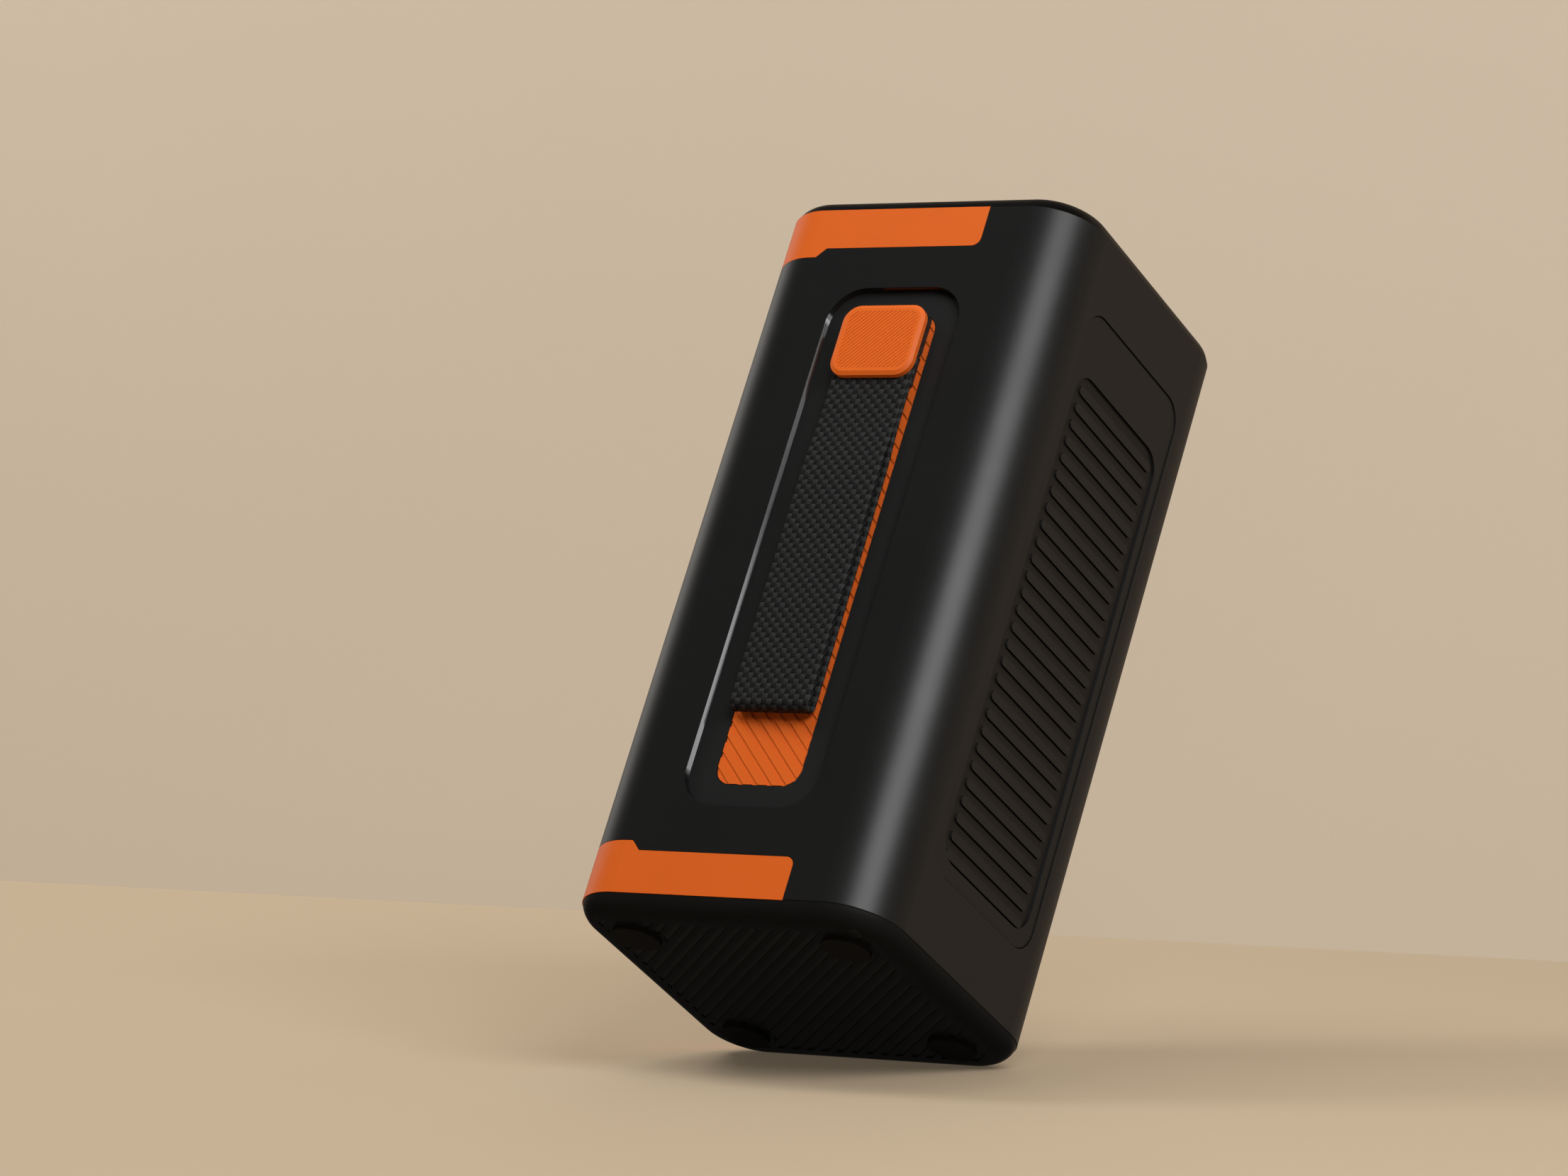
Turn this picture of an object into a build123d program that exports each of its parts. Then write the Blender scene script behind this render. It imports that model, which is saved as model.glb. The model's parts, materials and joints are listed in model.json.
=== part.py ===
from build123d import *
from math import cos, radians, sin, sqrt
import os

os.makedirs("parts", exist_ok=True)

# A tall camping power station: a sleeve with rounded corners between two caps, standing on four
# rubber feet. -Y is the strap face, +X the vent face and -X the port face. The origin lies under
# the middle of the whole object, on the surface that the feet rest on. Everything is in mm.

# Driving dimensions of the case
WIDTH = 124.0          # along X
DEPTH = 119.5          # along Y, without the strap anchor
SLEEVE_H = 265.0       # sleeve height between the two cap seams
CAP_H = 6.0            # height of each cap
CAP_EDGE_R = 8.0       # rounding of the caps' outer edge
FOOT_H = 1.5           # how far the feet stand out
CORNER_R = 21.0        # upright corners of the case
WALL = 2.9             # sleeve wall, which is also the depth of the strap recess
GAP = 0.15             # parting line between neighbouring covers
PROUD = 4.8            # how far the strap anchor stands in front of the strap face

SEAM_LOW = FOOT_H + CAP_H
SEAM_HIGH = SEAM_LOW + SLEEVE_H
TOP = SEAM_HIGH + CAP_H
HOUSE_Y = PROUD / 2    # the case's own axis, which centres the whole object on the origin

# Strap recess, its ridged base plate and the strap
RECESS_W = 53.8
RECESS_H = 199.8
RECESS_Z = SEAM_LOW + 133.1
RECESS_R = 13.9
LIP = 0.3              # satin edge in front of the gloss bezel
BEZEL_T = 0.8
FLOOR_T = 2.8
PLATE_W = 33.0
PLATE_H = 180.4
PLATE_Z = SEAM_LOW + 132.9
PLATE_R = 6.2
PLATE_T = 1.6
RIDGE_PITCH = 4.06     # across the ridges, which run at 45 degrees
RIDGE_GROOVE = 1.55
RIDGE_DEPTH = 0.4
RIDGE_SHIFT = 1.25     # from the plate's middle to the middle of a groove, across the ridges
ANCHOR_W = 32.8
ANCHOR_H = 27.6
ANCHOR_Z = SEAM_LOW + 209.5
ANCHOR_R = 6.2
ANCHOR_T = 2.5
STRAP_W = 31.0
STRAP_T = 1.7          # one layer of webbing
HINGE_Z = ANCHOR_Z - ANCHOR_H / 2 - 4.5
FOLD_Z = SEAM_LOW + 71.1

# Orange bands round the port face
BAND_T = 1.2
BAND_END = 26.1        # X of the bands' ends on the two side faces
BAND_H = 15.6          # height of the narrow part
BAND_STEP = 3.5        # extra height of the part that wraps the port face
BAND_STEP_X = -38.9
BAND_END_R = 3.2

# Vent cover
VENT_W = 70.9
VENT_H = 212.7
VENT_Z = SEAM_LOW + 133.1
VENT_R = 9.7
VENT_T = 2.0
VENT_SINK = 0.4        # the cover's face lies this far under the vent face
FIELD_W = 63.0
FIELD_H = 184.7
FIELD_Z = SEAM_LOW + 124.75
FIELD_R = 9.3
FIELD_DEPTH = 0.7
BARS = 28
BAR_PITCH = 6.52
BAR_W = 55.7
BAR_H = 3.3
BAR_RISE = 0.5
SLOT_H = 0.4
FIRST_BAR_Z = SEAM_LOW + 35.0

# Feet and the rib field on the bottom cap
FOOT_R = 8.4
FOOT_X = 41.2
FOOT_Y = 38.4
FIELD_X = 51.8
FIELD_Y = 49.1
RIB_PITCH = 4.22
RIB_GROOVE = 2.0
RIB_DEPTH = 0.4
RIB_SHIFT = -1.4       # from the cap's middle to the middle of a groove, across the ribs
FOOT_POCKET = 1.0
SCREW_R = 1.5

# Port face
PORT_SINK = 2.5        # the front panel lies this far under the port face
PANEL_W = 70.0
PANEL_H = 210.0
PANEL_Z = 141.0
PANEL_R = 8.0
PANEL_T = 2.5
DISPLAY_Z = 224.0
BUTTON_Z = 192.0
BUTTON_YS = (24.0, 8.0, -8.0, -24.0)
BUTTON_NAMES = ("power_button", "ac_button", "dc_button", "light_button")
BUTTON_R = 5.5
USB_Z = 172.0
OUTLET_Z = 146.0
SOCKET_Y = 14.0
SOCKET_Z = 113.0
SOCKET_R = 10.5        # bore of a 12 V accessory socket
SOCKET_L = 36.0
JACK_Y = -19.0
JACK_Z = 113.0
LAMP_W = 54.0
LAMP_H = 46.0
LAMP_Z = 66.0

# Battery, frame and electronics
CELL_R = 10.5
CELL_L = 70.0
CELL_PITCH = 23.0
CELL_Z = 17.5
FRAME_W = 104.0
FRAME_D = 98.0
FRAME_R = 14.0
POST_X = 49.0
POST_Y = 45.0
POST_R = 3.5
SHELF_Z = 97.0
BOARD_T = 1.6

# Caps, lips and fasteners
CAP_SHELL = 2.5        # thickness of a cap
LIP_T = 2.0            # lip that holds the sleeve's end
LIP_H = 5.0
LIP_PLAY = 0.1
BOSS_R = 4.5
SEAL_T = 1.0
FOOT_LAND = 1.8        # plain ring left round each foot
FOOT_EDGE = 0.3
SEAM_EDGE = 0.3        # chamfer of the sleeve's two ends
SCREW_HEAD_R = 2.8
SCREW_HEAD_H = 1.2
RUNNING = 0.05         # radial clearance of a turning fit
FRAME_Z = SEAM_LOW + LIP_H + SEAL_T
FRAME_TOP = SEAM_HIGH - LIP_H

# Strap anchor and loop. A distance that ends in _OUT or _BACK is measured out from the strap face.
FLOOR_FLANGE = 5.0
FLOOR_OUT = -WALL
ANCHOR_BACK = PROUD - ANCHOR_T
TAIL_BACK = ANCHOR_BACK - 2 * STRAP_T
HINGE_OUT = ANCHOR_BACK - STRAP_T      # the strap's hinge line, between its two layers
ANCHOR_SCREW_X = 9.0
ANCHOR_SCREW_Z = ANCHOR_Z + 8.0
ANCHOR_SCREW_OUT = ANCHOR_BACK + 1.2   # how far the screws reach into the cap
BEVEL_DROP = 0.7
BEVEL_W = 1.4
HATCH_PITCH = 1.2      # fine hatch on the anchor cap's face
HATCH_GROOVE = 0.5
HATCH_DEPTH = 0.15
HATCH_EDGE = 2.6
BLOCK_W = 29.0
BLOCK_H = 16.0
BLOCK_RISE = 5.0
CLAMP_H = 12.0
TAIL_LOW = HINGE_Z + STRAP_T + 0.5
TAIL_TOP = ANCHOR_Z + BLOCK_RISE - BLOCK_H / 2
LOOP_R = 3.05          # half thickness of the loop at its fold
LOOP_L = HINGE_Z - FOLD_Z
LOOP_FULL = 34.0       # distance below the hinge line where the loop is full
LOOP_SPLIT = 5.0       # distance below the hinge line where the two layers part
LOOP_CLEFT = 0.1       # half the gap between the layers where they part

# Vent cover details and fan
VENT_EDGE = 0.25
SCREEN_T = 0.5
BAR_MID_Z = FIRST_BAR_Z + (BARS - 1) * BAR_PITCH / 2
FAN_Z = 182.0
FAN_SIZE = 60.0
FAN_X = 42.0
FAN_T = 15.0
FAN_RIM = 2.0          # wall left round the duct
FAN_SPOKE = 3.0
FAN_PLATE = 2.0        # thickness of the hub plate and its spokes
FAN_HUB_R = 11.0
FAN_PIN_R = 1.5
FAN_BLADES = 7
BLADE_T = 1.4
BLADE_W = 11.0
BLADE_PITCH = 40       # degrees
BLADE_GAP = 1.0        # between the blades' tips and the duct

# Front panel and what is in it
PANEL_OUT = -PORT_SINK             # the front panel's face, measured out from the port face
PANEL_BACK = PANEL_OUT - PANEL_T
PANEL_FLANGE = 3.5
DISPLAY_W = 56.0
DISPLAY_H = 32.0
DISPLAY_R = 3.0
LENS_T = 2.0
LENS_GAP = 0.2
MODULE_T = 5.0
BUTTON_PLAY = 0.3
BUTTON_PROUD = 1.5
BUTTON_EDGE = 0.4
BUTTON_FLANGE = 1.2    # how far the flange behind the panel stands out
BUTTON_FLANGE_T = 1.0
BUTTON_REST = 0.3      # gap between the flange and the panel
STEM_R = 1.2
STEM_L = 0.8
SWITCH_OUT = PANEL_BACK - 6.2
SWITCH_W = 6.0
SWITCH_H = 2.0
SWITCH_STUB_R = 1.6
SWITCH_STUB_L = 0.8
SWITCH_BOARD_W = 62.0
SWITCH_BOARD_H = 14.0
USB_A_YS = (24.0, 6.5)
USB_C_YS = (-8.0, -22.0)
USB_A_W = 13.2
USB_A_H = 5.8
USB_A_WALL = 0.4
USB_L = 14.0
USB_C_W = 9.4
USB_C_H = 3.4
USB_C_R = 1.55
USB_C_WALL = 0.3
USB_C_L = 10.0
OUTLET_W = 44.0
OUTLET_H = 30.0
OUTLET_L = 18.0
OUTLET_R = 4.0
OUTLET_PROUD = 0.4
BLADE_X = 6.35         # half the distance between the mains blades
BLADE_RISE = 3.0
BLADE_SLOT = (2.2, 7.6)
BLADE_CONTACT = (1.8, 6.8)
EARTH_DROP = 7.5
EARTH_R = 2.6
EARTH_CONTACT_R = 2.3
CONTACT_L = 4.6
CONTACT_RISE = 7.0     # how far a contact's end stands above the outlet's back
SOCKET_OUT_R = 12.5
SOCKET_WALL = 0.8
SOCKET_BACK = 1.2      # thickness of the barrel's end
SOCKET_RIM = 1.5
RIM_PROUD = 0.4
SOCKET_CENTRE_Y = HOUSE_Y - SOCKET_Y
SOCKET_CONTACT_R = 3.0
SOCKET_CONTACT_L = 2.8
COVER_R = 13.0
COVER_T = 1.2
KNUCKLE_L = 9.0
KNUCKLE_R = 1.1
KNUCKLE_GAP = 0.3      # between the knuckle and each ear
PIN_R = 0.6
EAR_T = 2.0
COVER_OUT = PANEL_OUT + 0.7        # back of the closed cover, just clear of the socket's rim
COVER_PIN_OUT = PANEL_OUT + KNUCKLE_R + 0.15
COVER_PIN_X = -WIDTH / 2 - COVER_PIN_OUT
COVER_PIN_Z = SOCKET_Z + COVER_R + 3.0
JACK_R = 6.0
JACK_BORE_R = 2.9
JACK_L = 13.0
JACK_BACK = 3.0
JACK_PIN_R = 1.0
LAMP_R = 4.0
LAMP_RIB_PITCH = 3.0
LAMP_RIB = 1.0
LAMP_RIB_DEPTH = 0.5
LAMP_BORDER = 3.0
LED_OUT = PANEL_OUT - 3.6          # face of the lamp's board
LED_BOARD_T = 1.2
LED_W = 3.0
LED_H = 0.9
LED_PITCH = 10.0

# Inner details
TRAY_T = 2.5
TRAY_HOLE_X = 44.0     # how much smaller a tray's opening is than the tray
TRAY_HOLE_Y = 50.0
STUD_L = 16.0
STUD_SUNK = 11.0
CELL_CORNER = 8.0
HOLDER_H = 8.0
STRIP_W = 8.0
STRIP_T = 0.4
BOARD_Y = 42.0         # from the case axis to the inverter board
BMS_Y = 48.6
BOARD_HALF_X = 38.0
CONTROL_OUT = PANEL_OUT - USB_L - 1.0
CONTROL_Z = 205.0
CONTROL_W = 66.0
CONTROL_H = 84.0
CAPACITOR_R = 8.0
CAPACITOR_L = 30.0
CAPACITOR_X = -26.0
CAPACITOR_ZS = (120.0, 142.0, 228.0)
CORE_X = (-8.0, 34.0)
CORE_Y = (-30.0, 20.0)
CORE_Z = (SHELF_Z + TRAY_T, SHELF_Z + TRAY_T + 36.0)
CORE_LIMB = 8.0        # thickness of the core's outer limbs
CORE_MID_Y = (-11.5, 1.5)
WINDING_OUT = 6.0      # how far the winding stands out of the core at each end
WINDING_Y = (-21.5, 11.5)
WINDING_R = 5.0
WINDING_PLAY = 0.3
SINK_X = (-2.0, 38.0)
SINK_Y = (-16.0, 20.0)
SINK_BASE = 4.0
SINK_Z = 152.0
SINK_H = 66.0
SINK_FINS = 11
SINK_FIN_T = 1.5
CHIP_X = (8.0, 24.0)
CHIP_T = 4.5
CHIP_H = 10.0
CHIP_ZS = (160.0, 176.0, 192.0, 208.0)


def level(z):
    """Horizontal plane at height z, centred on the case's axis."""
    return Plane((0, HOUSE_Y, z))


def strap_face(out=0.0):
    """Plane of the strap face, moved out by a distance; local x is +X and local y is +Z."""
    return Plane(origin=(0, HOUSE_Y - DEPTH / 2 - out, 0), x_dir=(1, 0, 0), z_dir=(0, -1, 0))


def vent_face(out=0.0):
    """Plane of the vent face, moved out by a distance; local x is +Y and local y is +Z."""
    return Plane(origin=(WIDTH / 2 + out, HOUSE_Y, 0), x_dir=(0, 1, 0), z_dir=(1, 0, 0))


def port_face(out=0.0):
    """Plane of the port face, moved out by a distance; local x is -Y and local y is +Z."""
    return Plane(origin=(-WIDTH / 2 - out, HOUSE_Y, 0), x_dir=(0, -1, 0), z_dir=(-1, 0, 0))


def case_outline(inset=0.0, mode=Mode.ADD):
    """The case's rounded rectangle, inset by a distance, in the active sketch."""
    RectangleRounded(WIDTH - 2 * inset, DEPTH - 2 * inset, CORNER_R - inset, mode=mode)


def window(face, y, z, width, height, radius, depth, mode=Mode.SUBTRACT):
    """Cut, or add, a rounded rectangle centred at local (y, z) on a face plane, inwards by depth."""
    with BuildSketch(face) as profile:
        with Locations((y, z)):
            RectangleRounded(width, height, radius)
    extrude(profile.sketch, amount=-depth, mode=mode)


def disc(face, y, z, radius, depth, mode=Mode.ADD):
    """Add, or cut, a round plug centred at local (y, z) on a face plane, inwards by depth."""
    with BuildSketch(face) as profile:
        with Locations((y, z)):
            Circle(radius)
    extrude(profile.sketch, amount=-depth, mode=mode)


def block(x, y, z, mode=Mode.ADD):
    """Add, or cut, a box given as (low, high) pairs along X, along Y from the case axis, and along Z."""
    with Locations((x[0], HOUSE_Y + y[0], z[0])):
        Box(x[1] - x[0], y[1] - y[0], z[1] - z[0], align=(Align.MIN, Align.MIN, Align.MIN), mode=mode)


def strap_point(down, out):
    """YZ point of the strap's side outline: a distance below its hinge line and out from it."""
    return (HOUSE_Y - DEPTH / 2 - HINGE_OUT - out, HINGE_Z - down)


def diagonal_grooves(width, height, pitch, groove, lean, shift=0.0):
    """Straight strips at 45 degrees across a width x height field, drawn in the active sketch."""
    run = (width + height) / sqrt(2)
    rows = 2 * int(run / pitch / 2) + 1
    with Locations(Rotation(0, 0, lean)):
        with Locations((shift, 0)):
            with GridLocations(pitch, 0, rows, 1):
                Rectangle(groove, run)
    Rectangle(width, height, mode=Mode.INTERSECT)


def band_solid(top, grow=0.0):
    """An orange band: a thin shell over the port face that runs on round both side faces."""
    seam = SEAM_HIGH if top else SEAM_LOW
    way = -1 if top else 1
    narrow = seam + way * (BAND_H + grow)
    wide = narrow + way * BAND_STEP
    end = BAND_END + grow
    with BuildPart() as band:
        with BuildSketch(level(SEAM_LOW)):
            case_outline()
            case_outline(BAND_T, mode=Mode.SUBTRACT)
        extrude(amount=SLEEVE_H)
        with BuildSketch(Plane.XZ.offset(-HOUSE_Y)):
            with BuildLine():
                Polyline((end, narrow - way * BAND_END_R), (end, seam), (-WIDTH, seam), (-WIDTH, wide),
                         (BAND_STEP_X, wide), (BAND_STEP_X + BAND_STEP, narrow),
                         (end - BAND_END_R, narrow))
                RadiusArc((end - BAND_END_R, narrow), (end, narrow - way * BAND_END_R),
                          -BAND_END_R if top else BAND_END_R)
            make_face()
        extrude(amount=DEPTH, both=True, mode=Mode.INTERSECT)
    return band.part


# --- Case ---------------------------------------------------------------------------------------

# Sleeve: one rounded tube open at both ends, with a window for the strap recess, a pocket and
# window for the vent cover, a window for the front panel and rebates for the two bands.
with BuildPart() as housing:
    with BuildSketch(level(SEAM_LOW)):
        case_outline()
    extrude(amount=SLEEVE_H)
    chamfer(housing.edges().group_by(Axis.Z)[0] + housing.edges().group_by(Axis.Z)[-1], SEAM_EDGE)
    with BuildSketch(level(SEAM_LOW)):
        case_outline(WALL)
    extrude(amount=SLEEVE_H, mode=Mode.SUBTRACT)
    window(strap_face(), 0, RECESS_Z, RECESS_W, RECESS_H, RECESS_R, 2 * WALL)
    window(strap_face(-LIP), 0, RECESS_Z, RECESS_W + 2 * BEZEL_T, RECESS_H + 2 * BEZEL_T,
           RECESS_R + BEZEL_T, 2 * WALL)
    window(vent_face(), 0, VENT_Z, VENT_W + 2 * GAP, VENT_H + 2 * GAP, VENT_R + GAP,
           VENT_SINK + VENT_T)
    window(vent_face(), 0, FIELD_Z, FIELD_W, FIELD_H, FIELD_R, 2 * WALL)
    window(port_face(), 0, PANEL_Z, PANEL_W, PANEL_H, PANEL_R, 2 * WALL)
    add(band_solid(True, GAP), mode=Mode.SUBTRACT)
    add(band_solid(False, GAP), mode=Mode.SUBTRACT)
housing.part.label = "housing"
export_step(housing.part, "parts/housing.step")

with BuildPart() as top_band:
    add(band_solid(True))
top_band.part.label = "top_band"
export_step(top_band.part, "parts/top_band.step")

with BuildPart() as bottom_band:
    add(band_solid(False))
bottom_band.part.label = "bottom_band"
export_step(bottom_band.part, "parts/bottom_band.step")

# The caps are shells with a rounded outer edge. A lip inside each one holds the sleeve's end.
with BuildPart() as top_cap:
    with BuildSketch(level(TOP - CAP_EDGE_R - 1)):
        case_outline()
    extrude(amount=CAP_EDGE_R + 1)
    fillet(top_cap.edges().group_by(Axis.Z)[-1], CAP_EDGE_R)
    split(bisect_by=level(SEAM_HIGH), keep=Keep.TOP)
    with BuildSketch(level(SEAM_HIGH)):
        case_outline(WALL + LIP_PLAY + LIP_T)
    extrude(amount=CAP_H - CAP_SHELL, mode=Mode.SUBTRACT)
    with BuildSketch(level(SEAM_HIGH)):
        case_outline(WALL + LIP_PLAY)
        case_outline(WALL + LIP_PLAY + LIP_T, mode=Mode.SUBTRACT)
    extrude(amount=-LIP_H)
    with BuildSketch(level(SEAM_HIGH - LIP_H)):
        with GridLocations(2 * POST_X, 2 * POST_Y, 2, 2):
            Circle(BOSS_R)
    extrude(amount=LIP_H + CAP_H - CAP_SHELL)
    with BuildSketch(level(SEAM_HIGH - LIP_H)):
        with GridLocations(2 * POST_X, 2 * POST_Y, 2, 2):
            Circle(SCREW_R)
    extrude(amount=LIP_H + 2, mode=Mode.SUBTRACT)
top_cap.part.label = "top_cap"
export_step(top_cap.part, "parts/top_cap.step")

with BuildPart() as bottom_cap:
    with BuildSketch(level(FOOT_H)):
        case_outline()
    extrude(amount=CAP_EDGE_R + 1)
    fillet(bottom_cap.edges().group_by(Axis.Z)[0], CAP_EDGE_R)
    split(bisect_by=level(SEAM_LOW), keep=Keep.BOTTOM)
    with BuildSketch(level(SEAM_LOW)):
        case_outline(WALL + LIP_PLAY + LIP_T)
    extrude(amount=-(CAP_H - CAP_SHELL), mode=Mode.SUBTRACT)
    with BuildSketch(level(SEAM_LOW)):
        case_outline(WALL + LIP_PLAY)
        case_outline(WALL + LIP_PLAY + LIP_T, mode=Mode.SUBTRACT)
    extrude(amount=LIP_H)
    # Shallow diagonal grooves for grip, kept clear of the four feet, which sit in round pockets.
    with BuildSketch(level(FOOT_H)):
        diagonal_grooves(2 * FIELD_X, 2 * FIELD_Y, RIB_PITCH, RIB_GROOVE, 45, RIB_SHIFT)
        with GridLocations(2 * FOOT_X, 2 * FOOT_Y, 2, 2):
            Circle(FOOT_R + FOOT_LAND, mode=Mode.SUBTRACT)
    extrude(amount=RIB_DEPTH, mode=Mode.SUBTRACT)
    with BuildSketch(level(FOOT_H)):
        with GridLocations(2 * FOOT_X, 2 * FOOT_Y, 2, 2):
            Circle(FOOT_R + GAP)
    extrude(amount=FOOT_POCKET, mode=Mode.SUBTRACT)
    with BuildSketch(level(FOOT_H + FOOT_POCKET)):
        with GridLocations(2 * FOOT_X, 2 * FOOT_Y, 2, 2):
            Circle(SCREW_HEAD_R + GAP)
    extrude(amount=SCREW_HEAD_H, mode=Mode.SUBTRACT)
    with BuildSketch(level(FOOT_H)):
        with GridLocations(2 * FOOT_X, 2 * FOOT_Y, 2, 2):
            Circle(SCREW_R + GAP)
    extrude(amount=CAP_H, mode=Mode.SUBTRACT)
bottom_cap.part.label = "bottom_cap"
export_step(bottom_cap.part, "parts/bottom_cap.step")

# Four rubber feet with a softened lower edge.
with BuildPart() as feet:
    with BuildSketch(level(0)):
        with GridLocations(2 * FOOT_X, 2 * FOOT_Y, 2, 2):
            Circle(FOOT_R)
    extrude(amount=FOOT_H + FOOT_POCKET)
    fillet(feet.edges().group_by(Axis.Z)[0], FOOT_EDGE)
feet.part.label = "feet"
export_step(feet.part, "parts/feet.step")

# Screws under the feet, which pull the bottom cap up against the frame.
with BuildPart() as cap_screws:
    with BuildSketch(level(FOOT_H + FOOT_POCKET)):
        with GridLocations(2 * FOOT_X, 2 * FOOT_Y, 2, 2):
            Circle(SCREW_HEAD_R)
    extrude(amount=SCREW_HEAD_H)
    with BuildSketch(level(FOOT_H + FOOT_POCKET)):
        with GridLocations(2 * FOOT_X, 2 * FOOT_Y, 2, 2):
            Circle(SCREW_R)
    extrude(amount=FRAME_Z - FOOT_H - FOOT_POCKET)
cap_screws.part.label = "cap_screws"
export_step(cap_screws.part, "parts/cap_screws.step")

# Gaskets between the sleeve's two ends and the caps' lips.
with BuildPart() as seals:
    for seal_z in (SEAM_HIGH - LIP_H - SEAL_T, SEAM_LOW + LIP_H):
        with BuildSketch(level(seal_z)):
            case_outline(WALL)
            case_outline(WALL + LIP_PLAY + LIP_T, mode=Mode.SUBTRACT)
        extrude(amount=SEAL_T)
seals.part.label = "seals"
export_step(seals.part, "parts/seals.step")

# --- Strap side ---------------------------------------------------------------------------------

# Gloss bezel that lines the recess, seated behind the sleeve's thin front lip.
with BuildPart() as recess_bezel:
    window(strap_face(-LIP), 0, RECESS_Z, RECESS_W + 2 * BEZEL_T, RECESS_H + 2 * BEZEL_T,
           RECESS_R + BEZEL_T, WALL - LIP, Mode.ADD)
    window(strap_face(), 0, RECESS_Z, RECESS_W, RECESS_H, RECESS_R, 2 * WALL)
recess_bezel.part.label = "recess_bezel"
export_step(recess_bezel.part, "parts/recess_bezel.step")

# Floor of the recess: a plate screwed behind the sleeve wall, with a pocket for the base plate.
with BuildPart() as recess_floor:
    window(strap_face(FLOOR_OUT), 0, RECESS_Z, RECESS_W + 2 * FLOOR_FLANGE,
           RECESS_H + 2 * FLOOR_FLANGE, RECESS_R, FLOOR_T, Mode.ADD)
    window(strap_face(FLOOR_OUT), 0, PLATE_Z, PLATE_W + 4 * GAP, PLATE_H + 4 * GAP,
           PLATE_R + 2 * GAP, PLATE_T)
    for side in (-1, 1):
        disc(strap_face(FLOOR_OUT), side * ANCHOR_SCREW_X, ANCHOR_SCREW_Z, SCREW_R + GAP,
             2 * FLOOR_T, Mode.SUBTRACT)
recess_floor.part.label = "recess_floor"
export_step(recess_floor.part, "parts/recess_floor.step")

# Ridged orange base plate: flat diagonal ridges between shallow grooves.
with BuildPart() as base_plate:
    window(strap_face(FLOOR_OUT), 0, PLATE_Z, PLATE_W, PLATE_H, PLATE_R, PLATE_T, Mode.ADD)
    with BuildSketch(strap_face(FLOOR_OUT)):
        with Locations((0, PLATE_Z)):
            diagonal_grooves(PLATE_W, PLATE_H, RIDGE_PITCH, RIDGE_GROOVE, 45, RIDGE_SHIFT)
    extrude(amount=-RIDGE_DEPTH, mode=Mode.SUBTRACT)
    for side in (-1, 1):
        disc(strap_face(FLOOR_OUT), side * ANCHOR_SCREW_X, ANCHOR_SCREW_Z, SCREW_R + GAP,
             2 * PLATE_T, Mode.SUBTRACT)
base_plate.part.label = "base_plate"
export_step(base_plate.part, "parts/base_plate.step")

# Anchor block: stands on the base plate above the strap's end and clamps it from behind.
with BuildPart() as anchor_block:
    window(strap_face(ANCHOR_BACK), 0, ANCHOR_Z + BLOCK_RISE, BLOCK_W, BLOCK_H, 2.0,
           ANCHOR_BACK + WALL, Mode.ADD)
    window(strap_face(TAIL_BACK), 0, TAIL_TOP - CLAMP_H / 2, BLOCK_W, CLAMP_H, 1.0,
           TAIL_BACK + WALL, Mode.ADD)
    for side in (-1, 1):
        disc(strap_face(ANCHOR_BACK), side * ANCHOR_SCREW_X, ANCHOR_SCREW_Z, SCREW_R + GAP,
             4 * WALL, Mode.SUBTRACT)
anchor_block.part.label = "anchor_block"
export_step(anchor_block.part, "parts/anchor_block.step")

# Orange anchor cap over the strap's end, with a bevelled face and a fine diagonal hatch on it.
with BuildPart() as anchor_cap:
    window(strap_face(PROUD), 0, ANCHOR_Z, ANCHOR_W, ANCHOR_H, ANCHOR_R, ANCHOR_T, Mode.ADD)
    chamfer(anchor_cap.faces().sort_by(Axis.Y)[0].edges(), length=BEVEL_DROP, length2=BEVEL_W)
    with BuildSketch(strap_face(PROUD)) as hatch:
        with Locations((0, ANCHOR_Z)):
            diagonal_grooves(ANCHOR_W - 2 * HATCH_EDGE, ANCHOR_H - 2 * HATCH_EDGE, HATCH_PITCH,
                             HATCH_GROOVE, -45)
            RectangleRounded(ANCHOR_W - 2 * HATCH_EDGE, ANCHOR_H - 2 * HATCH_EDGE,
                             ANCHOR_R - HATCH_EDGE, mode=Mode.INTERSECT)
    extrude(amount=-HATCH_DEPTH, mode=Mode.SUBTRACT)
    for side in (-1, 1):
        disc(strap_face(ANCHOR_SCREW_OUT + GAP), side * ANCHOR_SCREW_X, ANCHOR_SCREW_Z,
             SCREW_R + GAP, ANCHOR_T, Mode.SUBTRACT)
anchor_cap.part.label = "anchor_cap"
export_step(anchor_cap.part, "parts/anchor_cap.step")

# Two screws from inside the case, through the floor, plate and block into the anchor cap.
with BuildPart() as anchor_screws:
    for side in (-1, 1):
        disc(strap_face(ANCHOR_SCREW_OUT), side * ANCHOR_SCREW_X, ANCHOR_SCREW_Z, SCREW_R,
             ANCHOR_SCREW_OUT + WALL + FLOOR_T)
        disc(strap_face(FLOOR_OUT - FLOOR_T), side * ANCHOR_SCREW_X, ANCHOR_SCREW_Z, SCREW_HEAD_R,
             SCREW_HEAD_H)
anchor_screws.part.label = "anchor_screws"
export_step(anchor_screws.part, "parts/anchor_screws.step")

# Fixed end of the strap, two layers pinched under the anchor cap.
with BuildPart() as strap_tail:
    window(strap_face(ANCHOR_BACK), 0, (TAIL_TOP + TAIL_LOW) / 2, STRAP_W, TAIL_TOP - TAIL_LOW, 0.5,
           2 * STRAP_T, Mode.ADD)
strap_tail.part.label = "strap_tail"
export_step(strap_tail.part, "parts/strap_tail.step")

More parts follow.
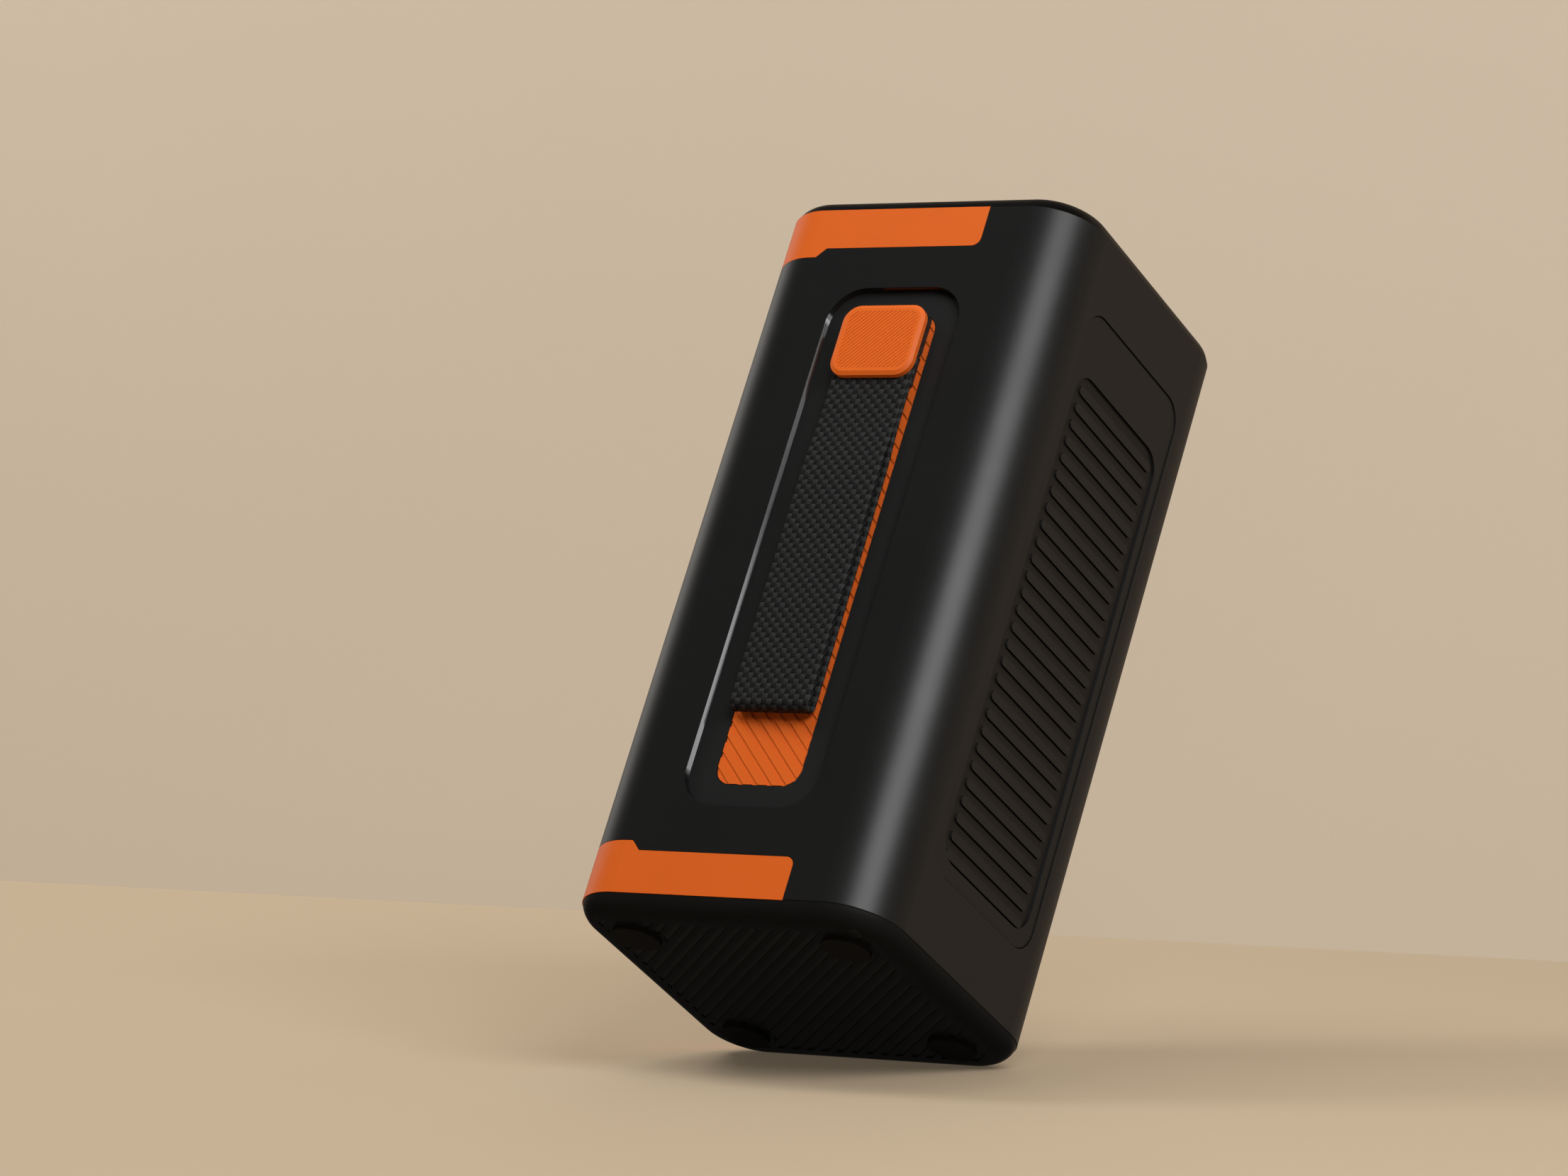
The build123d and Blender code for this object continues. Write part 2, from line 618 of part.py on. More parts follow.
# Free part of the strap: a flat loop of webbing that swings out from the anchor. Its root is
# rounded about the hinge line, and its two layers part lower down and meet in the bottom fold.
with BuildPart() as strap_loop:
    with BuildSketch(Plane.YZ.offset(-STRAP_W / 2)):
        with BuildLine():
            Polyline(strap_point(0, STRAP_T), strap_point(LOOP_FULL, LOOP_R), strap_point(LOOP_L, LOOP_R))
            ThreePointArc(strap_point(LOOP_L, LOOP_R), strap_point(LOOP_L + LOOP_R, 0),
                          strap_point(LOOP_L, -LOOP_R))
            Polyline(strap_point(LOOP_L, -LOOP_R), strap_point(LOOP_FULL, -LOOP_R),
                     strap_point(0, -STRAP_T))
            ThreePointArc(strap_point(0, -STRAP_T), strap_point(-STRAP_T, 0), strap_point(0, STRAP_T))
        make_face()
        with BuildLine():
            Polyline(strap_point(LOOP_L, LOOP_R - STRAP_T), strap_point(LOOP_FULL, LOOP_R - STRAP_T),
                     strap_point(LOOP_SPLIT, LOOP_CLEFT), strap_point(LOOP_SPLIT, -LOOP_CLEFT),
                     strap_point(LOOP_FULL, STRAP_T - LOOP_R), strap_point(LOOP_L, STRAP_T - LOOP_R))
            ThreePointArc(strap_point(LOOP_L, STRAP_T - LOOP_R),
                          strap_point(LOOP_L + LOOP_R - STRAP_T, 0),
                          strap_point(LOOP_L, LOOP_R - STRAP_T))
        make_face(mode=Mode.SUBTRACT)
    extrude(amount=STRAP_W)
strap_loop.part.label = "strap_loop"
export_step(strap_loop.part, "parts/strap_loop.step")

# --- Vent side ----------------------------------------------------------------------------------

# Vent cover: a plate with a sunk field of raised bars and a narrow air slot under each bar.
with BuildPart() as vent_cover:
    window(vent_face(-VENT_SINK), 0, VENT_Z, VENT_W, VENT_H, VENT_R, VENT_T, Mode.ADD)
    chamfer(vent_cover.faces().sort_by(Axis.X)[-1].edges(), VENT_EDGE)
    window(vent_face(-VENT_SINK), 0, FIELD_Z, FIELD_W, FIELD_H, FIELD_R, FIELD_DEPTH)
    with BuildSketch(vent_face(-VENT_SINK - FIELD_DEPTH)):
        with Locations((0, BAR_MID_Z)):
            with GridLocations(0, BAR_PITCH, 1, BARS):
                SlotOverall(BAR_W, BAR_H)
    extrude(amount=BAR_RISE)
    with BuildSketch(vent_face(-VENT_SINK)):
        with Locations((0, BAR_MID_Z - (BAR_H + SLOT_H) / 2)):
            with GridLocations(0, BAR_PITCH, 1, BARS):
                SlotOverall(BAR_W - BAR_H, SLOT_H)
    extrude(amount=-2 * VENT_T, mode=Mode.SUBTRACT)
vent_cover.part.label = "vent_cover"
export_step(vent_cover.part, "parts/vent_cover.step")

# Dust screen behind the slots, held in a plain frame.
with BuildPart() as dust_screen:
    window(vent_face(-VENT_SINK - VENT_T), 0, FIELD_Z, FIELD_W - 1, FIELD_H - 1, FIELD_R, SCREEN_T,
           Mode.ADD)
dust_screen.part.label = "dust_screen"
export_step(dust_screen.part, "parts/dust_screen.step")

# Fan frame: a square duct with a hub plate on four spokes.
with BuildPart() as fan_frame:
    block((FAN_X, FAN_X + FAN_T), (-FAN_SIZE / 2, FAN_SIZE / 2),
          (FAN_Z - FAN_SIZE / 2, FAN_Z + FAN_SIZE / 2))
    with BuildSketch(Plane.YZ.offset(FAN_X)):
        with Locations((HOUSE_Y, FAN_Z)):
            Circle(FAN_SIZE / 2 - FAN_RIM)
            Circle(FAN_HUB_R, mode=Mode.SUBTRACT)
            Rectangle(FAN_SIZE, FAN_SPOKE, mode=Mode.SUBTRACT)
            Rectangle(FAN_SPOKE, FAN_SIZE, mode=Mode.SUBTRACT)
    extrude(amount=FAN_T, mode=Mode.SUBTRACT)
    with BuildSketch(Plane.YZ.offset(FAN_X + FAN_PLATE)):
        with Locations((HOUSE_Y, FAN_Z)):
            Circle(FAN_SIZE / 2 - FAN_RIM)
    extrude(amount=FAN_T, mode=Mode.SUBTRACT)
    with BuildSketch(Plane.YZ.offset(FAN_X)):
        with Locations((HOUSE_Y, FAN_Z)):
            Circle(FAN_PIN_R)
    extrude(amount=FAN_T - FAN_PLATE - 1)
fan_frame.part.label = "fan_frame"
export_step(fan_frame.part, "parts/fan_frame.step")

# Fan rotor: a hub with pitched blades that runs on the frame's pin.
with BuildPart() as fan_rotor:
    with BuildSketch(Plane.YZ.offset(FAN_X + FAN_PLATE + 1)):
        with Locations((HOUSE_Y, FAN_Z)):
            Circle(FAN_HUB_R)
    extrude(amount=FAN_T - FAN_PLATE - 2)
    for blade in range(FAN_BLADES):
        turn = radians(360 * blade / FAN_BLADES)
        out = (0, sin(turn), cos(turn))
        middle = Plane(origin=(FAN_X + FAN_PLATE / 2 + FAN_T / 2, HOUSE_Y, FAN_Z), x_dir=(1, 0, 0),
                       z_dir=out)
        with BuildSketch(middle.offset(FAN_HUB_R - 1)):
            with Locations(Rotation(0, 0, BLADE_PITCH)):
                Rectangle(BLADE_T, BLADE_W)
        extrude(amount=FAN_SIZE / 2 - FAN_RIM - BLADE_GAP - FAN_HUB_R + 1)
    with BuildSketch(Plane.YZ.offset(FAN_X)):
        with Locations((HOUSE_Y, FAN_Z)):
            Circle(FAN_PIN_R + RUNNING)
    extrude(amount=FAN_T - FAN_PLATE - 0.5, mode=Mode.SUBTRACT)
fan_rotor.part.label = "fan_rotor"
export_step(fan_rotor.part, "parts/fan_rotor.step")

# --- Port side ----------------------------------------------------------------------------------

# Front panel: a plate behind the sleeve's window, stepped so that it fills the window, with an
# opening for each port, button and window.
with BuildPart() as front_panel:
    window(port_face(PANEL_OUT), 0, PANEL_Z, PANEL_W - 2 * GAP, PANEL_H - 2 * GAP, PANEL_R,
           WALL - PORT_SINK, Mode.ADD)
    window(port_face(-WALL), 0, PANEL_Z, PANEL_W + 2 * PANEL_FLANGE, PANEL_H + 2 * PANEL_FLANGE,
           PANEL_R, PANEL_T - WALL + PORT_SINK, Mode.ADD)
    for port_z, port_w, port_h, port_r in ((DISPLAY_Z, DISPLAY_W, DISPLAY_H, DISPLAY_R),
                                           (LAMP_Z, LAMP_W, LAMP_H, LAMP_R),
                                           (OUTLET_Z, OUTLET_W, OUTLET_H, OUTLET_R)):
        window(port_face(PANEL_OUT), 0, port_z, port_w + 2 * GAP, port_h + 2 * GAP, port_r,
               2 * PANEL_T)
    for local_y in BUTTON_YS:
        disc(port_face(PANEL_OUT), local_y, BUTTON_Z, BUTTON_R + BUTTON_PLAY, 2 * PANEL_T,
             Mode.SUBTRACT)
    for local_y in USB_A_YS:
        window(port_face(PANEL_OUT), local_y, USB_Z, USB_A_W + 2 * GAP, USB_A_H + 2 * GAP,
               USB_A_WALL + GAP, 2 * PANEL_T)
    for local_y in USB_C_YS:
        window(port_face(PANEL_OUT), local_y, USB_Z, USB_C_W + 2 * GAP, USB_C_H + 2 * GAP,
               USB_C_R + GAP, 2 * PANEL_T)
    disc(port_face(PANEL_OUT), SOCKET_Y, SOCKET_Z, SOCKET_OUT_R + GAP, 2 * PANEL_T, Mode.SUBTRACT)
    disc(port_face(PANEL_OUT), JACK_Y, JACK_Z, JACK_R + GAP, 2 * PANEL_T, Mode.SUBTRACT)
front_panel.part.label = "front_panel"
export_step(front_panel.part, "parts/front_panel.step")

# Display: a window flush with the panel over a thin module.
with BuildPart() as display_lens:
    window(port_face(PANEL_OUT), 0, DISPLAY_Z, DISPLAY_W, DISPLAY_H, DISPLAY_R, LENS_T, Mode.ADD)
display_lens.part.label = "display_lens"
export_step(display_lens.part, "parts/display_lens.step")

with BuildPart() as display_module:
    window(port_face(PANEL_OUT - LENS_T - LENS_GAP), 0, DISPLAY_Z, DISPLAY_W - 2, DISPLAY_H - 2, 1.0,
           MODULE_T, Mode.ADD)
display_module.part.label = "display_module"
export_step(display_module.part, "parts/display_module.step")

# Four round buttons. A flange behind the panel retains each one, and its stem meets a switch.
for button_name, local_y in zip(BUTTON_NAMES, BUTTON_YS):
    with BuildPart() as button:
        disc(port_face(PANEL_OUT + BUTTON_PROUD), local_y, BUTTON_Z, BUTTON_R,
             BUTTON_PROUD + PANEL_T + BUTTON_REST)
        fillet(button.edges().group_by(Axis.X)[0], BUTTON_EDGE)
        disc(port_face(PANEL_BACK - BUTTON_REST), local_y, BUTTON_Z, BUTTON_R + BUTTON_FLANGE,
             BUTTON_FLANGE_T)
        disc(port_face(PANEL_BACK - BUTTON_REST - BUTTON_FLANGE_T), local_y, BUTTON_Z, STEM_R, STEM_L)
    button.part.label = button_name
    export_step(button.part, f"parts/{button_name}.step")

# Tact switches on their own board behind the buttons, each with a stub facing the button's stem.
with BuildPart() as switch_board:
    window(port_face(SWITCH_OUT), 0, BUTTON_Z, SWITCH_BOARD_W, SWITCH_BOARD_H, 1.0, BOARD_T, Mode.ADD)
switch_board.part.label = "switch_board"
export_step(switch_board.part, "parts/switch_board.step")

with BuildPart() as tact_switches:
    for local_y in BUTTON_YS:
        window(port_face(SWITCH_OUT + SWITCH_H), local_y, BUTTON_Z, SWITCH_W, SWITCH_W, 0.4, SWITCH_H,
               Mode.ADD)
        disc(port_face(SWITCH_OUT + SWITCH_H + SWITCH_STUB_L), local_y, BUTTON_Z, SWITCH_STUB_R,
             SWITCH_STUB_L)
tact_switches.part.label = "tact_switches"
export_step(tact_switches.part, "parts/tact_switches.step")

# USB ports: open metal shells with a plastic tongue in each.
with BuildPart() as usb_a_ports:
    for local_y in USB_A_YS:
        window(port_face(PANEL_OUT), local_y, USB_Z, USB_A_W, USB_A_H, USB_A_WALL, USB_L, Mode.ADD)
        window(port_face(PANEL_OUT), local_y, USB_Z, USB_A_W - 2 * USB_A_WALL,
               USB_A_H - 2 * USB_A_WALL, USB_A_WALL / 2, USB_L - 1)
usb_a_ports.part.label = "usb_a_ports"
export_step(usb_a_ports.part, "parts/usb_a_ports.step")

with BuildPart() as usb_c_ports:
    for local_y in USB_C_YS:
        window(port_face(PANEL_OUT), local_y, USB_Z, USB_C_W, USB_C_H, USB_C_R, USB_C_L, Mode.ADD)
        window(port_face(PANEL_OUT), local_y, USB_Z, USB_C_W - 2 * USB_C_WALL,
               USB_C_H - 2 * USB_C_WALL, USB_C_R - USB_C_WALL, USB_C_L - 1)
usb_c_ports.part.label = "usb_c_ports"
export_step(usb_c_ports.part, "parts/usb_c_ports.step")

with BuildPart() as usb_tongues:
    for local_y in USB_A_YS:
        window(port_face(PANEL_OUT - 1), local_y, USB_Z + 1.1, USB_A_W - 2.4, 1.8, 0.2, USB_L - 2,
               Mode.ADD)
    for local_y in USB_C_YS:
        window(port_face(PANEL_OUT - 0.8), local_y, USB_Z, USB_C_W - 2.2, 0.7, 0.2, USB_C_L - 1.8,
               Mode.ADD)
usb_tongues.part.label = "usb_tongues"
export_step(usb_tongues.part, "parts/usb_tongues.step")

# Mains outlet: a plastic insert with two blade slots and a round earth hole, and a brass contact
# at the back of each.
with BuildPart() as ac_outlet:
    window(port_face(PANEL_OUT + OUTLET_PROUD), 0, OUTLET_Z, OUTLET_W, OUTLET_H, OUTLET_R, OUTLET_L,
           Mode.ADD)
    chamfer(ac_outlet.faces().sort_by(Axis.X)[0].edges(), OUTLET_PROUD)
    for side in (-1, 1):
        window(port_face(PANEL_OUT + OUTLET_PROUD), side * BLADE_X, OUTLET_Z + BLADE_RISE,
               *BLADE_SLOT, 0.3, OUTLET_L - 2)
    disc(port_face(PANEL_OUT + OUTLET_PROUD), 0, OUTLET_Z - EARTH_DROP, EARTH_R, OUTLET_L - 2,
         Mode.SUBTRACT)
ac_outlet.part.label = "ac_outlet"
export_step(ac_outlet.part, "parts/ac_outlet.step")

with BuildPart() as outlet_contacts:
    for side in (-1, 1):
        window(port_face(PANEL_OUT - OUTLET_L + CONTACT_RISE), side * BLADE_X, OUTLET_Z + BLADE_RISE,
               *BLADE_CONTACT, 0.2, CONTACT_L, Mode.ADD)
    disc(port_face(PANEL_OUT - OUTLET_L + CONTACT_RISE), 0, OUTLET_Z - EARTH_DROP, EARTH_CONTACT_R,
         CONTACT_L)
outlet_contacts.part.label = "outlet_contacts"
export_step(outlet_contacts.part, "parts/outlet_contacts.step")

# 12 V accessory socket: a metal barrel in a plastic sleeve whose rim lies on the panel, and the
# sprung contact at the bottom.
with BuildPart() as socket_barrel:
    disc(port_face(PANEL_OUT + RIM_PROUD / 2), SOCKET_Y, SOCKET_Z, SOCKET_R + SOCKET_WALL,
         SOCKET_L + RIM_PROUD / 2)
    disc(port_face(PANEL_OUT + RIM_PROUD / 2), SOCKET_Y, SOCKET_Z, SOCKET_R,
         SOCKET_L + RIM_PROUD / 2 - SOCKET_BACK, Mode.SUBTRACT)
socket_barrel.part.label = "socket_barrel"
export_step(socket_barrel.part, "parts/socket_barrel.step")

with BuildPart() as socket_sleeve:
    disc(port_face(PANEL_OUT + RIM_PROUD), SOCKET_Y, SOCKET_Z, SOCKET_OUT_R + SOCKET_RIM, RIM_PROUD)
    disc(port_face(PANEL_OUT), SOCKET_Y, SOCKET_Z, SOCKET_OUT_R, SOCKET_L)
    disc(port_face(PANEL_OUT + RIM_PROUD), SOCKET_Y, SOCKET_Z, SOCKET_R + SOCKET_WALL, SOCKET_L + 1,
         Mode.SUBTRACT)
socket_sleeve.part.label = "socket_sleeve"
export_step(socket_sleeve.part, "parts/socket_sleeve.step")

with BuildPart() as socket_contact:
    disc(port_face(PANEL_OUT - SOCKET_L + SOCKET_BACK + SOCKET_CONTACT_L), SOCKET_Y, SOCKET_Z,
         SOCKET_CONTACT_R, SOCKET_CONTACT_L)
socket_contact.part.label = "socket_contact"
export_step(socket_contact.part, "parts/socket_contact.step")

# Hinged cover over the 12 V socket: a disc with a knuckle on its upper edge, turning on a pin
# held in two ears that stand on the panel.
with BuildPart() as socket_cover:
    disc(port_face(COVER_OUT + COVER_T), SOCKET_Y, SOCKET_Z, COVER_R, COVER_T)
    window(port_face(COVER_OUT + COVER_T), SOCKET_Y, (SOCKET_Z + COVER_PIN_Z) / 2, KNUCKLE_L,
           COVER_PIN_Z - SOCKET_Z, 0.5, COVER_T, Mode.ADD)
    with BuildSketch(Plane.XZ.offset(KNUCKLE_L / 2 - SOCKET_CENTRE_Y)):
        with Locations((COVER_PIN_X, COVER_PIN_Z)):
            Circle(KNUCKLE_R)
    extrude(amount=-KNUCKLE_L)
    with BuildSketch(Plane.XZ.offset(KNUCKLE_L / 2 - SOCKET_CENTRE_Y)):
        with Locations((COVER_PIN_X, COVER_PIN_Z)):
            Circle(PIN_R + RUNNING)
    extrude(amount=-KNUCKLE_L, mode=Mode.SUBTRACT)
socket_cover.part.label = "socket_cover"
export_step(socket_cover.part, "parts/socket_cover.step")

with BuildPart() as cover_ears:
    for side in (-1, 1):
        ear_y = SOCKET_Y + side * (KNUCKLE_L / 2 + EAR_T / 2 + KNUCKLE_GAP)
        window(port_face(COVER_PIN_OUT + KNUCKLE_R), ear_y, COVER_PIN_Z, EAR_T, 2 * KNUCKLE_R, 0.3,
               COVER_PIN_OUT + KNUCKLE_R - PANEL_OUT, Mode.ADD)
    with BuildSketch(Plane.XZ.offset(KNUCKLE_L - SOCKET_CENTRE_Y)):
        with Locations((COVER_PIN_X, COVER_PIN_Z)):
            Circle(PIN_R)
    extrude(amount=-2 * KNUCKLE_L, mode=Mode.SUBTRACT)
cover_ears.part.label = "cover_ears"
export_step(cover_ears.part, "parts/cover_ears.step")

with BuildPart() as cover_pin:
    with BuildSketch(Plane.XZ.offset(KNUCKLE_L / 2 + EAR_T + KNUCKLE_GAP - SOCKET_CENTRE_Y)):
        with Locations((COVER_PIN_X, COVER_PIN_Z)):
            Circle(PIN_R)
    extrude(amount=-(KNUCKLE_L + 2 * EAR_T + 2 * KNUCKLE_GAP))
cover_pin.part.label = "cover_pin"
export_step(cover_pin.part, "parts/cover_pin.step")

# DC input jack with its centre pin.
with BuildPart() as dc_jack:
    disc(port_face(PANEL_OUT + RIM_PROUD), JACK_Y, JACK_Z, JACK_R, JACK_L)
    disc(port_face(PANEL_OUT + RIM_PROUD), JACK_Y, JACK_Z, JACK_BORE_R, JACK_L - JACK_BACK,
         Mode.SUBTRACT)
dc_jack.part.label = "dc_jack"
export_step(dc_jack.part, "parts/dc_jack.step")

with BuildPart() as dc_pin:
    disc(port_face(PANEL_OUT - 1), JACK_Y, JACK_Z, JACK_PIN_R, JACK_L - JACK_BACK - RIM_PROUD - 1)
dc_pin.part.label = "dc_pin"
export_step(dc_pin.part, "parts/dc_pin.step")

# Camp lamp: a ribbed diffuser flush with the panel over a board with a grid of LEDs.
with BuildPart() as lamp_lens:
    window(port_face(PANEL_OUT), 0, LAMP_Z, LAMP_W, LAMP_H, LAMP_R, LENS_T, Mode.ADD)
    with BuildSketch(port_face(PANEL_OUT)):
        with Locations((0, LAMP_Z)):
            with GridLocations(LAMP_RIB_PITCH, 0, int(LAMP_W / LAMP_RIB_PITCH) - 1, 1):
                Rectangle(LAMP_RIB, LAMP_H - 2 * LAMP_BORDER)
    extrude(amount=-LAMP_RIB_DEPTH, mode=Mode.SUBTRACT)
lamp_lens.part.label = "lamp_lens"
export_step(lamp_lens.part, "parts/lamp_lens.step")

with BuildPart() as lamp_board:
    window(port_face(LED_OUT), 0, LAMP_Z, LAMP_W - 2, LAMP_H - 2, 1.0, LED_BOARD_T, Mode.ADD)
lamp_board.part.label = "lamp_board"
export_step(lamp_board.part, "parts/lamp_board.step")

with BuildPart() as lamp_leds:
    with BuildSketch(port_face(LED_OUT)):
        with Locations((0, LAMP_Z)):
            with GridLocations(LED_PITCH, LED_PITCH, 5, 4):
                Rectangle(LED_W, LED_W)
    extrude(amount=LED_H)
lamp_leds.part.label = "lamp_leds"
export_step(lamp_leds.part, "parts/lamp_leds.step")

# --- Inside -------------------------------------------------------------------------------------

# Frame: three trays on four corner posts. The bottom tray takes the cap screws.
with BuildPart() as frame:
    for tray_z in (FRAME_Z, SHELF_Z, FRAME_TOP - TRAY_T):
        with BuildSketch(level(tray_z)):
            RectangleRounded(FRAME_W, FRAME_D, FRAME_R)
            RectangleRounded(FRAME_W - TRAY_HOLE_X, FRAME_D - TRAY_HOLE_Y, CELL_CORNER,
                             mode=Mode.SUBTRACT)
        extrude(amount=TRAY_T)
    with BuildSketch(level(FRAME_Z)):
        with GridLocations(2 * POST_X, 2 * POST_Y, 2, 2):
            Circle(POST_R)
    extrude(amount=FRAME_TOP - FRAME_Z)
    with BuildSketch(level(FRAME_Z)):
        with GridLocations(2 * FOOT_X, 2 * FOOT_Y, 2, 2):
            Circle(SCREW_R)
    extrude(amount=TRAY_T, mode=Mode.SUBTRACT)
    with BuildSketch(level(FRAME_TOP)):
        with GridLocations(2 * POST_X, 2 * POST_Y, 2, 2):
            Circle(SCREW_R)
    extrude(amount=-(STUD_SUNK + 1), mode=Mode.SUBTRACT)
frame.part.label = "frame"
export_step(frame.part, "parts/frame.step")

# Threaded studs that join the frame's posts to the top cap.
with BuildPart() as top_studs:
    with BuildSketch(level(FRAME_TOP - STUD_SUNK)):
        with GridLocations(2 * POST_X, 2 * POST_Y, 2, 2):
            Circle(SCREW_R)
    extrude(amount=STUD_L)
top_studs.part.label = "top_studs"
export_step(top_studs.part, "parts/top_studs.step")

# Battery: sixteen cells in two holders, joined by nickel strips, on an insulating pad.
with BuildPart() as battery_pad:
    with BuildSketch(level(FRAME_Z + TRAY_T)):
        RectangleRounded(4 * CELL_PITCH, 4 * CELL_PITCH, CELL_CORNER)
    extrude(amount=CELL_Z - STRIP_T - FRAME_Z - TRAY_T)
battery_pad.part.label = "battery_pad"
export_step(battery_pad.part, "parts/battery_pad.step")

with BuildPart() as battery_cells:
    with BuildSketch(level(CELL_Z)):
        with GridLocations(CELL_PITCH, CELL_PITCH, 4, 4):
            Circle(CELL_R)
    extrude(amount=CELL_L)
battery_cells.part.label = "battery_cells"
export_step(battery_cells.part, "parts/battery_cells.step")

for holder_name, holder_z in (("lower_cell_holder", CELL_Z + 1),
                              ("upper_cell_holder", CELL_Z + CELL_L - HOLDER_H - 1)):
    with BuildPart() as holder:
        with BuildSketch(level(holder_z)):
            RectangleRounded(4 * CELL_PITCH + 1, 4 * CELL_PITCH + 1, CELL_CORNER)
            with GridLocations(CELL_PITCH, CELL_PITCH, 4, 4):
                Circle(CELL_R + 0.1, mode=Mode.SUBTRACT)
        extrude(amount=HOLDER_H)
    holder.part.label = holder_name
    export_step(holder.part, f"parts/{holder_name}.step")

with BuildPart() as busbars:
    for strip_z in (CELL_Z - STRIP_T, CELL_Z + CELL_L):
        with BuildSketch(level(strip_z)):
            with GridLocations(0, CELL_PITCH, 1, 4):
                Rectangle(4 * CELL_PITCH - 6, STRIP_W)
        extrude(amount=STRIP_T)
busbars.part.label = "busbars"
export_step(busbars.part, "parts/busbars.step")

# Boards: battery management beside the cells, power conversion above them, control behind the
# display.
with BuildPart() as bms_board:
    block((-BOARD_HALF_X, BOARD_HALF_X), (BMS_Y, BMS_Y + BOARD_T), (24, 88))
bms_board.part.label = "bms_board"
export_step(bms_board.part, "parts/bms_board.step")

with BuildPart() as inverter_board:
    block((-BOARD_HALF_X, BOARD_HALF_X), (BOARD_Y, BOARD_Y + BOARD_T), (104, 240))
inverter_board.part.label = "inverter_board"
export_step(inverter_board.part, "parts/inverter_board.step")

with BuildPart() as control_board:
    window(port_face(CONTROL_OUT), 0, CONTROL_Z, CONTROL_W, CONTROL_H, 2.0, BOARD_T, Mode.ADD)
control_board.part.label = "control_board"
export_step(control_board.part, "parts/control_board.step")

with BuildPart() as capacitors:
    for cap_z in CAPACITOR_ZS:
        with BuildSketch(Plane.XZ.offset(-(HOUSE_Y + BOARD_Y))):
            with Locations((CAPACITOR_X, cap_z)):
                Circle(CAPACITOR_R)
        extrude(amount=CAPACITOR_L)
capacitors.part.label = "capacitors"
export_step(capacitors.part, "parts/capacitors.step")

# Transformer on the middle shelf: a rectangular core with its winding round the middle limb.
with BuildPart() as transformer_core:
    block(CORE_X, CORE_Y, CORE_Z)
    for opening_y in ((CORE_Y[0] + CORE_LIMB, CORE_MID_Y[0]), (CORE_MID_Y[1], CORE_Y[1] - CORE_LIMB)):
        block(CORE_X, opening_y, (CORE_Z[0] + CORE_LIMB, CORE_Z[1] - CORE_LIMB), Mode.SUBTRACT)
transformer_core.part.label = "transformer_core"
export_step(transformer_core.part, "parts/transformer_core.step")

with BuildPart() as transformer_winding:
    block((CORE_X[0] - WINDING_OUT, CORE_X[1] + WINDING_OUT), WINDING_Y,
          (CORE_Z[0] + CORE_LIMB + WINDING_PLAY, CORE_Z[1] - CORE_LIMB - WINDING_PLAY))
    fillet(transformer_winding.edges().filter_by(Axis.Z), WINDING_R)
    block((CORE_X[0] - WINDING_PLAY, CORE_X[1] + WINDING_PLAY),
          (CORE_MID_Y[0] - WINDING_PLAY, CORE_MID_Y[1] + WINDING_PLAY), CORE_Z, Mode.SUBTRACT)
transformer_winding.part.label = "transformer_winding"
export_step(transformer_winding.part, "parts/transformer_winding.step")

# Finned heat sink in the fan's air stream.
with BuildPart() as heat_sink:
    block(SINK_X, (SINK_Y[1], SINK_Y[1] + SINK_BASE), (SINK_Z, SINK_Z + SINK_H))
    for fin in range(SINK_FINS):
        fin_z = SINK_Z + fin * (SINK_H - SINK_FIN_T) / (SINK_FINS - 1)
        block(SINK_X, SINK_Y, (fin_z, fin_z + SINK_FIN_T))
heat_sink.part.label = "heat_sink"
export_step(heat_sink.part, "parts/heat_sink.step")

with BuildPart() as power_transistors:
    for chip_z in CHIP_ZS:
        block(CHIP_X, (SINK_Y[1] + SINK_BASE, SINK_Y[1] + SINK_BASE + CHIP_T), (chip_z, chip_z + CHIP_H))
power_transistors.part.label = "power_transistors"
export_step(power_transistors.part, "parts/power_transistors.step")
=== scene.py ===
import json
import math

import bpy
from mathutils import Matrix, Vector


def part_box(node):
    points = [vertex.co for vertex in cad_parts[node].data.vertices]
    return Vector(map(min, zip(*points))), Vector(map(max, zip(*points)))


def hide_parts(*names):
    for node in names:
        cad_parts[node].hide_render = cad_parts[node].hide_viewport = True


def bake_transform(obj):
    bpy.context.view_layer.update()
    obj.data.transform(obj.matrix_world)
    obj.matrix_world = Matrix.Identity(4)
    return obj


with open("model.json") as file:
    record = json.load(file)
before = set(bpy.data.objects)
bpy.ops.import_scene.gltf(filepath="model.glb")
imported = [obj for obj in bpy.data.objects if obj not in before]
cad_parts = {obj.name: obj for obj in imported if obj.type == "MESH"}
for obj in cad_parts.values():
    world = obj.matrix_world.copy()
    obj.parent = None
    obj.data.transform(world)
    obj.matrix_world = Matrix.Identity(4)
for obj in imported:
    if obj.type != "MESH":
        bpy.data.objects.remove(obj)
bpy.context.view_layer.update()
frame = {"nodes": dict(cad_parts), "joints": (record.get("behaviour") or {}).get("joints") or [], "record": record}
NODES = frame["nodes"]
JOINTS = {joint["name"]: joint for joint in frame["joints"]}
MM = 0.001
bpy.context.scene.view_settings.view_transform = "Standard"

# --- Camera, stage and light --------------------------------------------------------------------

# The tower leans back on its rear bottom edge. The frame stands upright, so the studio leans.
LEAN = math.radians(30)
UP = Vector((0, -math.sin(LEAN), math.cos(LEAN)))
AWAY = Vector((0, math.cos(LEAN), math.sin(LEAN)))
ACROSS = Vector((1, 0, 0))
MIDDLE = Vector((0, 0, 0.14))                # of the tower

EYE = Vector((1.06634, -1.53406, -0.67118))  # the camera's place in metres, and its directions
EYE_RIGHT = Vector((0.84139, 0.46834, 0.26966))
EYE_FORWARD = Vector((-0.54026, 0.74119, 0.39844))
LENS, SENSOR = 136.06, 36.0                  # both in millimetres, as Blender takes them
CLIP_FROM, CLIP_TO = 0.05, 50.0

